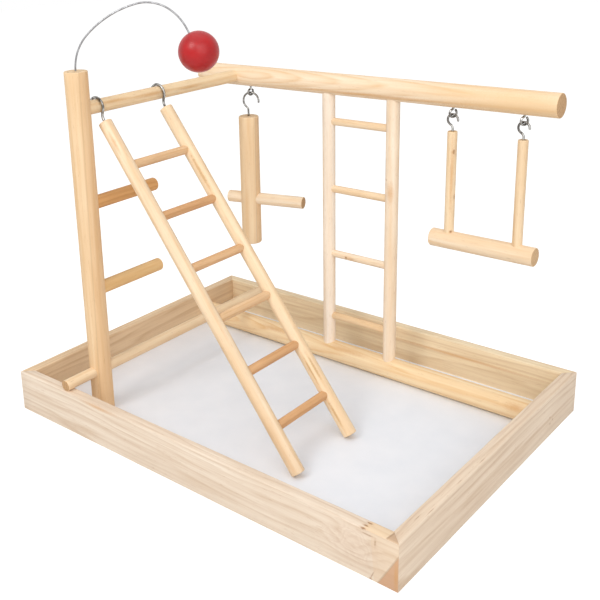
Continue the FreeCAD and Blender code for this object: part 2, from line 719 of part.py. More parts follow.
def group_of_copies(name, shape, placements):
    """Identical fasteners as separate solids of one node."""
    copies = []
    for placement in placements:
        copy = shape.copy()
        copy.Placement = placement
        copies.append(copy)
    group = doc.addObject("Part::Feature", name)
    group.Label = name
    group.Shape = Part.makeCompound(copies)
    return group


screw_turns = [FreeCAD.Placement(FreeCAD.Vector(x, y, 0), UPRIGHT) for x, y in screw_places]
place(group_of_copies("floor_screws", floor_screw_shape(), screw_turns), 0, 0, mm("panel_low"))

brad_turns = []
brad_line = half_width - mm("rail_thick") / 2
for side in (-1, 1):
    outward = FreeCAD.Rotation(Y_AXIS, 90 * side)
    for brad_y in (-brad_line, brad_line):
        for brad_z in BRAD_HEIGHTS:
            brad_x = side * (half_length - mm("brad_sunk"))
            brad_turns.append(FreeCAD.Placement(FreeCAD.Vector(brad_x, brad_y, brad_z), outward))
place(group_of_copies("corner_brads", brad_shape(), brad_turns), 0, 0, 0)

# ---------------------------------------------------------------------------
# Checks, then one file for each piece
# ---------------------------------------------------------------------------

doc.recompute()
for item in doc.Objects:
    if "Invalid" in item.State or "Error" in item.State:
        raise RuntimeError("%s did not recompute" % item.Label)
for piece in parts:
    if piece.Shape.isNull() or not piece.Shape.isValid():
        raise RuntimeError("%s has no sound shape" % piece.Label)

os.makedirs("parts", exist_ok=True)
for piece in parts:
    piece.Shape.exportStep(os.path.join("parts", piece.Label + ".step"))
print("%d pieces written" % len(parts))
print("leaning ladder: stile %.1f, foot at x %.1f, z %.1f" % (stile_length, foot_x, foot_z))
print("swing pivot z %.2f, T pivot z %.2f" % (swing_pivot_z, t_pivot.z))
print("ball centre", [round(value, 1) for value in ball_place])
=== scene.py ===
# %% [markdown]
# # A play stand for a parrot
#
# The stand is a shallow wooden tray with a white floor. Round dowels rise from it: a corner
# post, a long perch carried by a ladder, a second ladder that leans on two hooks, a swing, a
# hanging T perch, and a red ball on a springy wire. Nearly everything is sanded pine, so most
# of this lesson is about turning dowels, bending wire and making pine that looks like pine.

# %% Load the frame
import json
import math
import random

import bmesh
import bpy
from mathutils import Matrix, Vector


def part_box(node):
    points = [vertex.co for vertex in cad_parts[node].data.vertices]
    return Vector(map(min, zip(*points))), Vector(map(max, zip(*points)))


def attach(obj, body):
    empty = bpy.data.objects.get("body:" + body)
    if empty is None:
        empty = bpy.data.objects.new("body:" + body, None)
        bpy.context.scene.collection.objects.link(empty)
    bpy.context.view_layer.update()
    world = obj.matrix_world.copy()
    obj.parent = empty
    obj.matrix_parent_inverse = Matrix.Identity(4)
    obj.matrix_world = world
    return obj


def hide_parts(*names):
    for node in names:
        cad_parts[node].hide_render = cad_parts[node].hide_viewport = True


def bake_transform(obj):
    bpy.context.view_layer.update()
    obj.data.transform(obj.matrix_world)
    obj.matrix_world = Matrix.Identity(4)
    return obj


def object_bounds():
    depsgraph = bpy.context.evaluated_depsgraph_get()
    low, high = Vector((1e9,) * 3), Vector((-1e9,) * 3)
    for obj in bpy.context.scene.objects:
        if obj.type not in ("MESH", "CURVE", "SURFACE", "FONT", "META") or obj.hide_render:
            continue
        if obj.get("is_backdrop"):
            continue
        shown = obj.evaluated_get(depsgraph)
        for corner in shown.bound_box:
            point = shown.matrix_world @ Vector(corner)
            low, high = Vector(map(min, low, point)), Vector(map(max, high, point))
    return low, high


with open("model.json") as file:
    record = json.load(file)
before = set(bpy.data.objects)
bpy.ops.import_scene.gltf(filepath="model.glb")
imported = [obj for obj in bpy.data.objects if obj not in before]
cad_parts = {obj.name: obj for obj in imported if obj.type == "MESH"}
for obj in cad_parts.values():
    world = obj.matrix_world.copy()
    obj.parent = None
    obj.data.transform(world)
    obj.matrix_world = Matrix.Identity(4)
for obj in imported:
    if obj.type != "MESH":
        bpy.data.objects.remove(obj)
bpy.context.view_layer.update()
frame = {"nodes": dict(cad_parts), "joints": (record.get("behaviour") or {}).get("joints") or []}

MM = 0.001

# %% [markdown]
# ## Camera
#
# The stand is seen from the front right, a little above, with a normal lens. The picture's
# centre is not on the lens axis, so the camera has a small shift in place of a crop. Setting
# the camera first means that every later piece can be judged in the final framing.

# %% Place the camera
CAMERA_PLACE = (0.4562, -0.5950, 0.4246)
CAMERA_TURN = (72.83, 2.20, 41.30)
CAMERA_LENS = 55.11
CAMERA_SHIFT = (0.1338, -0.1513)
SENSOR_WIDTH = 36.0
NEAREST_SEEN = 0.01

camera_data = bpy.data.cameras.new("view")
camera = bpy.data.objects.new("view", camera_data)
bpy.context.scene.collection.objects.link(camera)
bpy.context.scene.camera = camera
camera.location = CAMERA_PLACE
camera.rotation_euler = [math.radians(angle) for angle in CAMERA_TURN]
camera_data.sensor_width = SENSOR_WIDTH
camera_data.lens = CAMERA_LENS
camera_data.shift_x, camera_data.shift_y = CAMERA_SHIFT
camera_data.clip_start = NEAREST_SEEN
print("camera at", CAMERA_PLACE, "lens", CAMERA_LENS)

# %% [markdown]
# ## Working by hand, in code
#
# Blender's edit-mode operators act on whatever is selected. By hand that selection is made
# with the mouse; here a small helper picks vertices, edges or faces by a test on their place.
# Another helper opens a piece for editing with nothing else selected, so that no operator
# reaches a piece it should not.

# %% Helpers for opening a piece and picking its elements
HAIR = 0.001 * MM  # places closer than this count as one


def clear_selection():
    if bpy.context.object is not None and bpy.context.object.mode != "OBJECT":
        bpy.ops.object.mode_set(mode="OBJECT")
    bpy.ops.object.select_all(action="DESELECT")


def only(piece):
    """Make this the one selected piece."""
    clear_selection()
    piece.select_set(True)
    bpy.context.view_layer.objects.active = piece


def open_for_editing(piece):
    only(piece)
    bpy.ops.object.mode_set(mode="EDIT")


def close_editing():
    bpy.ops.object.mode_set(mode="OBJECT")


def pick(piece, kind, test):
    """In edit mode, select just the VERT, EDGE or FACE elements that pass the test."""
    bpy.ops.mesh.select_mode(type=kind)
    bpy.ops.mesh.select_all(action="DESELECT")
    shape = bmesh.from_edit_mesh(piece.data)
    elements = {"VERT": shape.verts, "EDGE": shape.edges, "FACE": shape.faces}[kind]
    for element in elements:
        if test(element):
            element.select_set(True)
    bmesh.update_edit_mesh(piece.data)


def apply_place(piece):
    """Move the object's place, turn and size into its mesh."""
    only(piece)
    bpy.ops.object.transform_apply(location=True, rotation=True, scale=True)


def smooth_by_angle(piece, degrees):
    only(piece)
    bpy.ops.object.shade_smooth_by_angle(angle=math.radians(degrees))


def mend_normals(piece):
    """Join points that coincide, and turn every face outwards."""
    open_for_editing(piece)
    bpy.ops.mesh.select_all(action="SELECT")
    bpy.ops.mesh.remove_doubles(threshold=0.01 * MM)
    bpy.ops.mesh.normals_make_consistent(inside=False)
    close_editing()


def in_mm(vector):
    return [round(value / MM, 1) for value in vector]


# %% [markdown]
# ## Grain that follows each piece
#
# Wood is cut from a tree, so its pattern is a solid: growth rings run through the piece and
# come out on its sides as long lines and on its ends as arcs. A picture wrapped round the
# outside cannot do that. Instead every piece stores, at each vertex, where it lay in its own
# board: two distances across the grain and one along it, in millimetres. A different start
# for each piece means that no two dowels show the same rings. Two more stored numbers say how
# dark the piece is, its tone, and how yellow, its gold.


# %% Store the grain, tone and gold of a piece
wood_draw = random.Random(11)


def lay_grain(piece, across_a, across_b, along, tones, gold):
    """Store board coordinates from the piece's own axes, given as unit vectors."""
    start = Vector((wood_draw.uniform(-3, 3), wood_draw.uniform(-3, 3), wood_draw.uniform(0, 2000)))
    places = [vertex.co / MM for vertex in piece.data.vertices]
    board = [Vector((p.dot(across_a), p.dot(across_b), p.dot(along))) + start for p in places]
    for label, kind in (("grain", "FLOAT_VECTOR"), ("tone", "FLOAT"), ("gold", "FLOAT")):
        piece.data.attributes.new(label, kind, "POINT")
    flat = [value for point in board for value in point]
    piece.data.attributes["grain"].data.foreach_set("vector", flat)
    piece.data.attributes["tone"].data.foreach_set("value", tones)
    piece.data.attributes["gold"].data.foreach_set("value", [gold] * len(places))


# %% [markdown]
# ## Turning a dowel
#
# A dowel is a cylinder whose cut ends have been knocked smooth. It starts as a cylinder
# primitive laid between two points. In edit mode the two rims are bevelled, the ends are
# inset so that their middle can be worked, and the long edges are subdivided so that a weak
# displacement can make the surface as slightly uneven as sanded softwood is.

# %% Sand a piece
UNEVEN = bpy.data.textures.new("sanding", "CLOUDS")
UNEVEN.noise_scale = 18 * MM


def sand(piece, depth):
    """A weak uneven surface, as sandpaper leaves it."""
    only(piece)
    wave = piece.modifiers.new("sanding", "DISPLACE")
    wave.texture = UNEVEN
    wave.texture_coords = "GLOBAL"
    wave.strength = depth
    wave.mid_level = 0.5
    bpy.ops.object.modifier_apply(modifier=wave.name)


# %% Turn one dowel
RIM = 0.7 * MM
END_INSET = 0.4  # share of the radius
PIT_DEPTH = 1.4 * MM
CUT_EVERY = 9 * MM
DOWEL_SANDING = 0.16 * MM
WOOD = {}


def turn_dowel(name, start, end, radius, look, wood="dowel", pit=None, rim=RIM, sides=40):
    """A dowel between two points. pit is the radius of a worn screw hole in its far end.

    look is its tone, the tone of its ends, its gold, and the side that shows flat grain.
    """
    tone, end_tone, gold, flat_side = look
    start, end = Vector(start), Vector(end)
    run = end - start
    half = run.length / 2
    turned = run.to_track_quat("Z", "Y")
    clear_selection()
    bpy.ops.mesh.primitive_cylinder_add(
        vertices=sides,
        radius=radius,
        depth=run.length,
        end_fill_type="NGON",
        location=(start + end) / 2,
        rotation=turned.to_euler(),
    )
    piece = bpy.context.object
    piece.name = name
    open_for_editing(piece)
    pick(piece, "EDGE", lambda edge: all(abs(abs(v.co.z) - half) < HAIR for v in edge.verts))
    bpy.ops.mesh.bevel(offset=rim, segments=3, affect="EDGES")
    pick(piece, "FACE", lambda face: abs(face.normal.z) > 0.99)
    bpy.ops.mesh.inset(thickness=radius * END_INSET)
    if pit:
        pick(piece, "FACE", lambda face: face.normal.z > 0.99 and len(face.verts) == sides)
        bpy.ops.mesh.inset(thickness=radius * (1 - END_INSET) - rim - pit)
        sunk = run.normalized() * -PIT_DEPTH
        bpy.ops.mesh.extrude_region_move(TRANSFORM_OT_translate={"value": sunk})
    straight = 0.9 * (run.length - 2 * rim)
    pick(piece, "EDGE", lambda edge: abs(edge.verts[0].co.z - edge.verts[1].co.z) > straight)
    bpy.ops.mesh.subdivide(number_cuts=max(2, round(run.length / CUT_EVERY)))
    close_editing()
    outward = turned.inverted() @ Vector(flat_side)
    outward = Vector((outward.x, outward.y, 0)).normalized()
    tones = [end_tone if abs(v.co.z) > half - rim / 2 else tone for v in piece.data.vertices]
    lay_grain(piece, outward, Vector((-outward.y, outward.x, 0)), Vector((0, 0, 1)), tones, gold)
    piece.data.materials.append(WOOD[wood])
    piece.data.materials.append(WOOD["end"])
    for face in piece.data.polygons:
        face.material_index = 1 if abs(face.normal.z) > 0.9 else 0
    sand(piece, DOWEL_SANDING)
    apply_place(piece)
    smooth_by_angle(piece, 35)
    return piece


def settle(piece, node, body):
    """Hand a finished piece to the frame in place of its CAD node."""
    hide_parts(node)
    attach(piece, body)
    return piece


# %% [markdown]
# ## Pine
#
# Pine is pale between its growth rings and darker, browner and harder along them. Close up
# there is also a fine fibre along the board, short dark resin flecks, and a slow drift of
# colour. All of it is one node group, so that rails, dowels and cut ends share the same tree
# and differ only in the values that their materials feed it.


# %% Node helpers
def paint(red, green, blue):
    """A colour written as it looks on a screen, 0 to 255, as the linear values Blender uses."""
    steps = [value / 255 for value in (red, green, blue)]
    return tuple(s / 12.92 if s <= 0.04045 else ((s + 0.055) / 1.055) ** 2.4 for s in steps) + (1.0,)


def add_node(tree, kind, values=None, **settings):
    made = tree.nodes.new(kind)
    for setting, value in settings.items():
        setattr(made, setting, value)
    for socket, value in (values or {}).items():
        made.inputs[socket].default_value = value
    return made


def join(source, target):
    """Link one socket to another; each is written as (node, its name or number).

    The helpers below add their nodes to the tree of the socket that feeds them.
    """
    links = source[0].id_data.links
    links.new(source[0].outputs[source[1]], target[0].inputs[target[1]])


def is_socket(operand):
    return isinstance(operand, tuple) and isinstance(operand[0], bpy.types.Node)


def feed_in(operand, target):
    """Link an operand that is a socket; set it where it is a plain value."""
    if is_socket(operand):
        join(operand, target)
    else:
        target[0].inputs[target[1]].default_value = operand


def sums(operation, first, second=0.0):
    """A math node; the first operand is a socket, the second a number or a socket."""
    made = add_node(first[0].id_data, "ShaderNodeMath", operation=operation)
    feed_in(first, (made, 0))
    feed_in(second, (made, 1))
    return made, 0


def times(first, second):
    return sums("MULTIPLY", first, second)


def vectors(operation, first, second):
    made = add_node(first[0].id_data, "ShaderNodeVectorMath", operation=operation)
    feed_in(first, (made, 0))
    feed_in(second, (made, 1))
    return made, 0


def stretched(source, across, along):
    """The place multiplied, so that a noise is drawn out along the grain."""
    return vectors("MULTIPLY", source, (across, across, along))


def noise_at(source, detail=2.0, roughness=0.5):
    values = {"Scale": 1.0, "Detail": detail, "Roughness": roughness}
    made = add_node(source[0].id_data, "ShaderNodeTexNoise", values)
    join(source, (made, "Vector"))
    return made, "Fac"


def between(source, low, high, to_low=0.0, to_high=1.0):
    """Map a value from one range to another, held at its ends."""
    values = {1: low, 2: high, 3: to_low, 4: to_high}
    made = add_node(source[0].id_data, "ShaderNodeMapRange", values)
    join(source, (made, 0))
    return made, 0


def mixed(factor, first, second):
    """A colour mix; the factor is a socket, the others are colours or sockets."""
    made = add_node(factor[0].id_data, "ShaderNodeMix", data_type="RGBA")
    for index, operand in ((0, factor), (6, first), (7, second)):
        feed_in(operand, (made, index))
    return made, 2


def washed(colour, mask, share, wash):
    """A colour with a share of another laid over it where the mask is 1."""
    return mixed(times(mask, share), colour, wash)


def both_ways(noise, reach):
    """A noise moved so that it runs to either side of zero, and multiplied."""
    return times(sums("SUBTRACT", noise, 0.5), reach)


def new_group(name, vectors_in, numbers_in, numbers_out):
    """A node group with the named sockets, its input node and its output node."""
    tree = bpy.data.node_groups.new(name, "ShaderNodeTree")
    for labels, way, kind in (
        (vectors_in, "INPUT", "NodeSocketVector"),
        (numbers_in, "INPUT", "NodeSocketFloat"),
        (numbers_out, "OUTPUT", "NodeSocketFloat"),
    ):
        for label in labels:
            tree.interface.new_socket(label, in_out=way, socket_type=kind)
    return tree, tree.nodes.new("NodeGroupInput"), tree.nodes.new("NodeGroupOutput")


# %% The pine group: rings, streaks, fibre, flecks and drift
RING_INPUTS = ("Ring spacing", "Heart distance", "Wander", "Late wood")
# how fast a noise changes across and along the grain, for each millimetre
SLOW_BEND, FINE_RIPPLE, PATCHES = (0.05, 0.006), (0.4, 0.03), (0.3, 0.02)
RIPPLE_DEPTH = 1.1
TRUNK_TAPER = 0.008
PATTERNS = [
    # output, change across and along, the noise values that it runs between, detail
    ("Streaks", 0.34, 0.007, 0.42, 0.68, 3.0),
    ("Fibre", 1.3, 0.04, 0.34, 0.68, 3.0),
    ("Flecks", 1.7, 0.14, 0.67, 0.75, 1.0),
    ("Drift", 0.09, 0.011, 0.34, 0.68, 2.0),
]


def make_pine_group():
    outputs = ["Rings"] + [pattern[0] for pattern in PATTERNS]
    tree, feed, out = new_group("pine_grain", ["Place"], [*RING_INPUTS, "Swirl"], outputs)
    place = (feed, "Place")
    bend = both_ways(noise_at(stretched(place, *SLOW_BEND), 1.5), (feed, "Wander"))
    ripple = both_ways(noise_at(stretched(place, *FINE_RIPPLE), 1.0), RIPPLE_DEPTH)
    split = add_node(tree, "ShaderNodeSeparateXYZ")
    join(place, (split, 0))
    from_heart = sums("ADD", (split, 0), (feed, "Heart distance"))
    squares = [sums("POWER", side, 2.0) for side in (from_heart, (split, 1))]
    distance = sums("SQRT", sums("ADD", *squares))
    taper = times((split, 2), TRUNK_TAPER)
    for push in (bend, ripple, (feed, "Swirl"), taper):
        distance = sums("ADD", distance, push)
    # a year's growth goes from pale to dark slowly, and back to pale at once
    year = sums("FRACT", sums("DIVIDE", distance, (feed, "Ring spacing")))
    rise = sums("POWER", between(year, 0.1, 0.8), (feed, "Late wood"))
    fall = between(year, 0.8, 1.0, 1.0, 0.0)
    patchy = noise_at(stretched(place, *PATCHES), 2.0)
    strength = between(patchy, 0.34, 0.6, 0.3, 1.0)
    line = times(times(rise, fall), strength)
    join(line, (out, "Rings"))
    for label, across, along, low, high, detail in PATTERNS:
        pattern = noise_at(stretched(place, across, along), detail, 0.55)
        join(between(pattern, low, high), (out, label))
    return tree


PINE_GRAIN = make_pine_group()
print("group", PINE_GRAIN.name, "with", len(PINE_GRAIN.nodes), "nodes")

# %% [markdown]
# A knot is where a branch grew: a small dark oval with a browner halo round it, and the rings
# bend round it. A streak of resin is the same thing drawn out along the wood, and an arch is
# no colour at all, only a long slow push that draws the rings into the pointed arches of a
# flat-sawn board. Each has its own place, so a second group turns a place and a reach into a
# soft oval, and a finish asks it once for each mark. Core and Halo have ragged edges and give
# colour. Push is smooth, because ragged rings would look scribbled. Arcs are the curls inside
# a burr. Lean turns the oval to lie along a slanting piece.

# %% The mark group: a soft oval at a place
CORE_EDGE, HALO_EDGE = (0.3, 0.62), (0.2, 1.15)
ARC_COUNT, ARC_EDGE, ARC_FADE = 4.0, (0.04, 0.4), (0.05, 0.4)


def make_mark_group():
    tree, feed, out = new_group(
        "mark",
        ["Place", "Centre", "Reach"],
        ["Lean", "Ragged", "Swirls"],
        ["Core", "Halo", "Push", "Arcs"],
    )
    away = vectors("SUBTRACT", (feed, "Place"), (feed, "Centre"))
    upright = add_node(tree, "ShaderNodeVectorRotate", rotation_type="Y_AXIS")
    join(away, (upright, "Vector"))
    join((feed, "Lean"), (upright, "Angle"))
    scaled = vectors("DIVIDE", (upright, "Vector"), (feed, "Reach"))
    length = add_node(tree, "ShaderNodeVectorMath", operation="LENGTH")
    join(scaled, (length, 0))
    far = sums("ADD", (length, "Value"), (feed, "Ragged"))
    join(between(far, *CORE_EDGE, 1.0, 0.0), (out, "Core"))
    join(between(far, *HALO_EDGE, 1.0, 0.0), (out, "Halo"))
    push = between((length, "Value"), 0.0, 1.0, 1.0, 0.0)
    join(push, (out, "Push"))
    curl = sums("ADD", (length, "Value"), (feed, "Swirls"))
    curl = sums("PINGPONG", times(curl, ARC_COUNT), 0.5)
    arc = between(curl, *ARC_EDGE, 1.0, 0.0)
    join(times(arc, between(push, *ARC_FADE)), (out, "Arcs"))
    return tree


# %% The saw cut group: one side of a cut, and its seam
SIDE_BLUR = 0.5 * MM
SEAM_EDGE = (0.2 * MM, 0.9 * MM)


def make_cut_group():
    """Which side of a saw cut a place is on, and the thin dark seam along the cut."""
    tree, feed, out = new_group("saw_cut", ["Place", "Point", "Facing"], [], ["Side", "Seam"])
    away = vectors("SUBTRACT", (feed, "Place"), (feed, "Point"))
    depth = add_node(tree, "ShaderNodeVectorMath", operation="DOT_PRODUCT")
    join(away, (depth, 0))
    join((feed, "Facing"), (depth, 1))
    join(between((depth, "Value"), 0.0, SIDE_BLUR), (out, "Side"))
    off_cut = sums("ABSOLUTE", (depth, "Value"))
    join(between(off_cut, *SEAM_EDGE, 1.0, 0.0), (out, "Seam"))
    return tree


MARK = make_mark_group()
SAW_CUT = make_cut_group()
print("groups", MARK.name, "and", SAW_CUT.name)

# %% [markdown]
# The marks themselves, in millimetres from the tray's centre: the middle of each, how far it
# reaches along X, Y and Z, and its lean in degrees. Every kind has a look: how strongly its
# halo and its core colour the wood, and how far it pushes the rings. Resin is a streak with a
# darker core, a seam is a small crack or chip, and a warm mark is a wide faint glow.

# %% Where the marks are
KNOT, STREAK, RESIN, SEAM = "knot", "streak", "resin", "seam"
BURR, WARM, ARCH = "burr", "warm", "arch"
LADDER_LEAN = 37.3
DOWEL_MARKS = [
    (KNOT, (101.6, 97, 234.5), (2, 3, 4.4), 0),
    (SEAM, (102.1, 99.5, 194.3), (1.5, 2.4, 4), 0),
    (KNOT, (101, 97.2, 163.6), (1.7, 2.2, 1.9), 0),
    (STREAK, (100.4, 96.5, 215), (1.6, 2.4, 40), 0),
    (SEAM, (37.6, 95, 201.1), (1.5, 2.2, 1.5), 0),
    (STREAK, (42, 94.2, 189), (4, 3, 11), 0),
    (KNOT, (-6.4, 96.8, 116.8), (2.1, 1.8, 1.9), 0),
    (STREAK, (-1, 96.6, 116.6), (6, 1.6, 1.8), 0),
    (RESIN, (-82.5, -19.6, 216.2), (2.2, 3, 34), LADDER_LEAN),
    (RESIN, (35.9, -20.2, 58.7), (1.1, 2.6, 24), LADDER_LEAN),
    (RESIN, (38.4, -17.8, 60.6), (1.1, 2.6, 21), LADDER_LEAN),
    (RESIN, (61.4, -20.2, 25.3), (1.7, 2.8, 20), LADDER_LEAN),
    (STREAK, (-111, -93.6, 254), (1.5, 3, 12), LADDER_LEAN),
    (STREAK, (-130.6, -72, 284.6), (3, 17, 1.9), 0),
    (STREAK, (-130.2, -26, 283.4), (3, 24, 2.2), 0),
    (STREAK, (-130.2, 22, 282), (3, 16, 1.8), 0),
]
PERCH_MARKS = [
    (SEAM, (-132.8, 90.4, 279), (1.7, 3.4, 6.4), 0),
    (STREAK, (156, 90.6, 277.6), (52, 4, 2.6), 0),
    (WARM, (160, 92, 282), (84, 26, 20), 0),
    (STREAK, (30, 91.6, 276.4), (90, 4, 2.2), 0),
    (ARCH, (-110, 90, 284), (260, 80, 60), 0),
    (STREAK, (170.6, 91.2, 18.6), (11, 5, 5), 0),
    (STREAK, (-92, 92.8, 20.6), (24, 3, 3), 0),
    (STREAK, (-4, 93.6, 21), (24, 3, 3), 0),
    (ARCH, (-170, 90, 20), (280, 80, 60), 0),
]
RAIL_MARKS = [
    (SEAM, (200, 94.5, 18.4), (1.6, 1.7, 1.6), 0),
    (SEAM, (200, 100.5, 13.8), (1.6, 1.7, 1.6), 0),
    (SEAM, (200, 95.5, 12), (1.6, 2.2, 1.2), 0),
    (SEAM, (195, -118, 38), (0.6, 7, 1.6), 0),
    (SEAM, (198.6, -106, 38), (0.6, 8, 1.6), 0),
    (SEAM, (197.7, -63, 38), (0.6, 6, 1.6), 0),
    (SEAM, (198, -28, 38), (0.6, 6, 1.6), 0),
    (STREAK, (90, 140, 25), (90, 2, 1.8), 0),
]
FRONT_MARKS = [
    (BURR, (165, -150, 22), (27, 12, 19), 0),
    (SEAM, (176, -150, 34.4), (9, 1.6, 1.2), 0),
    (SEAM, (182, -150, 30.6), (1.1, 1.6, 5), 0),
    (SEAM, (180.2, -150, 4.6), (0.8, 1.4, 6), -22.5),
    (SEAM, (178.9, -150, 1), (1.8, 1.4, 1.6), 0),
    (KNOT, (173.6, -142.9, 38), (3.8, 1.4, 1.3), 0),
    (KNOT, (172.6, -146.6, 38), (3.2, 1.3, 1.3), 0),
    (KNOT, (172.4, -149.8, 37.6), (3.8, 1.4, 1.5), 0),
    (STREAK, (198.2, -150, 12), (1.8, 2.4, 14), 0),
    (STREAK, (-93, -150, 36.4), (24, 2, 2), 0),
]
MARK_LOOKS = {
    # share and colour of the halo, the same of the core, push on the rings and how steep it is
    KNOT: (0.45, paint(200, 148, 98), 0.65, paint(142, 96, 60), 2.4, 1.0),
    STREAK: (0.55, paint(214, 160, 100), 0.0, None, 0.0, 1.0),
    RESIN: (0.5, paint(216, 172, 112), 0.4, paint(180, 136, 82), 0.0, 1.0),
    SEAM: (0.3, paint(196, 152, 110), 0.42, paint(162, 120, 86), 0.0, 1.0),
    BURR: (0.25, paint(228, 200, 176), 0.15, paint(196, 160, 130), 8.0, 1.3),
    WARM: (0.75, paint(238, 200, 150), 0.0, None, 0.0, 1.0),
    ARCH: (0.0, None, 0.0, None, -23.0, 2.0),
}

# %% [markdown]
# The front rail's near end was made up from offcuts: a more orange piece is let into its top
# edge, and two small chips have been patched at the corner. Each is the wood on one side of a
# cut, bounded by a second cut. The post and the T perch were sawn near the heart of the tree,
# so one side of each is browner, and that border is as straight as a cut.

# %% Where the colour changes along a straight line
TOP, FACE = ((0, 0, 37.2), (0, 0, 1)), ((0, -149.0, 0), (0, -1, 0))
FRONT_CUTS = [
    # a point on the cut, the way it faces, the same for its bound, colour, share and seam share
    ((185.4, 0, 1.9), (0.873, 0, -0.488), *FACE, paint(200, 142, 104), 0.9, 0.5),
    ((172.4, -146, 0), (0.98, -0.1, 0), *TOP, paint(240, 206, 160), 0.55, 0.0),
    ((190.6, -150, 0), (0.99, -0.137, 0), *TOP, paint(196, 162, 132), 0.8, 0.6),
    ((181.6, 0, 0), (1.0, 0, 0.1), *FACE, paint(232, 202, 166), 0.35, 0.0),
]
FRONT_HALF, BACK_HALF = ((0, 0, 0), (0, -1, 0)), ((0, 0, 0), (0, 1, 0))
HEART_CUTS = [
    ((-133.1, -104.9, 310), (0.75, 0.66, -0.0155), *FRONT_HALF, paint(232, 188, 140), 0.25, 0.15),
    ((-120.5, 103.6, 240), (0.75, 0.66, -0.012), *BACK_HALF, paint(218, 170, 118), 0.45, 0.2),
]
SEAM_COLOUR = paint(150, 110, 80)

# %% Start a material, and find its marks
RAGGED_EDGE = (700.0, 0.7)  # how fast it changes in a metre, and how deep it is
SWIRL = (70.0, 1.6)


def new_material(name):
    """A material, its nodes, its shader and a node that tells where a point of the piece lies."""
    material = bpy.data.materials.new(name)
    material.use_nodes = True
    tree = material.node_tree
    shader = next(n for n in tree.nodes if n.type == "BSDF_PRINCIPLED")
    return material, tree, shader, add_node(tree, "ShaderNodeTexCoord")


def in_metres(values):
    return [value * MM for value in values]


def spotted(coords, scale, detail, roughness=0.5):
    """A noise that is the same in every direction, at a scale for each metre."""
    return noise_at(stretched((coords, "Object"), scale, scale), detail, roughness)


def find_marks(tree, coords, marks):
    """One mark group for each mark: its kind, core, halo and push. A burr has arcs for a core."""
    ragged = both_ways(spotted(coords, RAGGED_EDGE[0], 2.0), RAGGED_EDGE[1])
    swirls = both_ways(spotted(coords, SWIRL[0], 2.5), SWIRL[1])
    found = []
    for kind, centre, reach, lean in marks:
        values = {"Centre": in_metres(centre), "Reach": in_metres(reach), "Lean": math.radians(lean)}
        spot = add_node(tree, "ShaderNodeGroup", values, node_tree=MARK)
        for source, label in (((coords, "Object"), "Place"), (ragged, "Ragged"), (swirls, "Swirls")):
            join(source, (spot, label))
        core = "Arcs" if kind == BURR else "Core"
        found.append((kind, (spot, core), (spot, "Halo"), (spot, "Push")))
    return found


def pine_in(tree, rings, marks=()):
    """The pine group, its rings pushed aside by knots and burrs and drawn into arches."""
    place = add_node(tree, "ShaderNodeAttribute", attribute_name="grain")
    values = dict(zip(RING_INPUTS, rings))
    grain = add_node(tree, "ShaderNodeGroup", values, node_tree=PINE_GRAIN)
    join((place, "Vector"), (grain, "Place"))
    swirl = 0.0
    for kind, _core, _halo, push in marks:
        strength, steep = MARK_LOOKS[kind][4:]
        if strength:
            pushed = times(sums("POWER", push, steep), strength)
            swirl = sums("ADD", pushed, swirl)
    feed_in(swirl, (grain, "Swirl"))
    return grain


# %% Colour a material by its marks, its cuts and the piece's tone
GOLD_TINT = (1.0, 0.925, 0.7, 1.0)


def with_marks(colour, marks):
    for kind, core, halo, _push in marks:
        halo_share, halo_colour, core_share, core_colour = MARK_LOOKS[kind][:4]
        if halo_share:
            colour = washed(colour, halo, halo_share, halo_colour)
        if core_share:
            colour = washed(colour, core, core_share, core_colour)
    return colour


def with_cuts(tree, coords, colour, cuts):
    for point, facing, bound, bound_facing, patch, share, seam_share in cuts:
        sides = []
        for place, way in ((point, facing), (bound, bound_facing)):
            values = {"Point": in_metres(place), "Facing": way}
            cut = add_node(tree, "ShaderNodeGroup", values, node_tree=SAW_CUT)
            join((coords, "Object"), (cut, "Place"))
            sides.append(cut)
        inside = times((sides[0], "Side"), (sides[1], "Side"))
        colour = washed(colour, inside, share, patch)
        if seam_share:
            seam = times((sides[0], "Seam"), (sides[1], "Side"))
            colour = washed(colour, seam, seam_share, SEAM_COLOUR)
    return colour


def raised(shader, height, distance):
    bump = add_node(shader.id_data, "ShaderNodeBump", {"Distance": distance, "Strength": 1.0})
    join(height, (bump, "Height"))
    join((bump, "Normal"), (shader, "Normal"))


def by_tone(tree, colours):
    """A colour from a ramp along the piece's tone, pale to dark, made yellower by its gold."""
    tone = add_node(tree, "ShaderNodeAttribute", attribute_name="tone")
    gold = add_node(tree, "ShaderNodeAttribute", attribute_name="gold")
    ramp = add_node(tree, "ShaderNodeValToRGB")
    stops = ramp.color_ramp.elements
    while len(stops) < len(colours):
        stops.new(0.5)
    for index, colour in enumerate(colours):
        stops[index].position = index / (len(colours) - 1)
        stops[index].color = colour
    join((tone, "Fac"), (ramp, "Fac"))
    tint = add_node(tree, "ShaderNodeMix", data_type="RGBA", blend_type="MULTIPLY")
    join((gold, "Fac"), (tint, 0))
    join((ramp, "Color"), (tint, 6))
    tint.inputs[7].default_value = GOLD_TINT
    return tint, 2


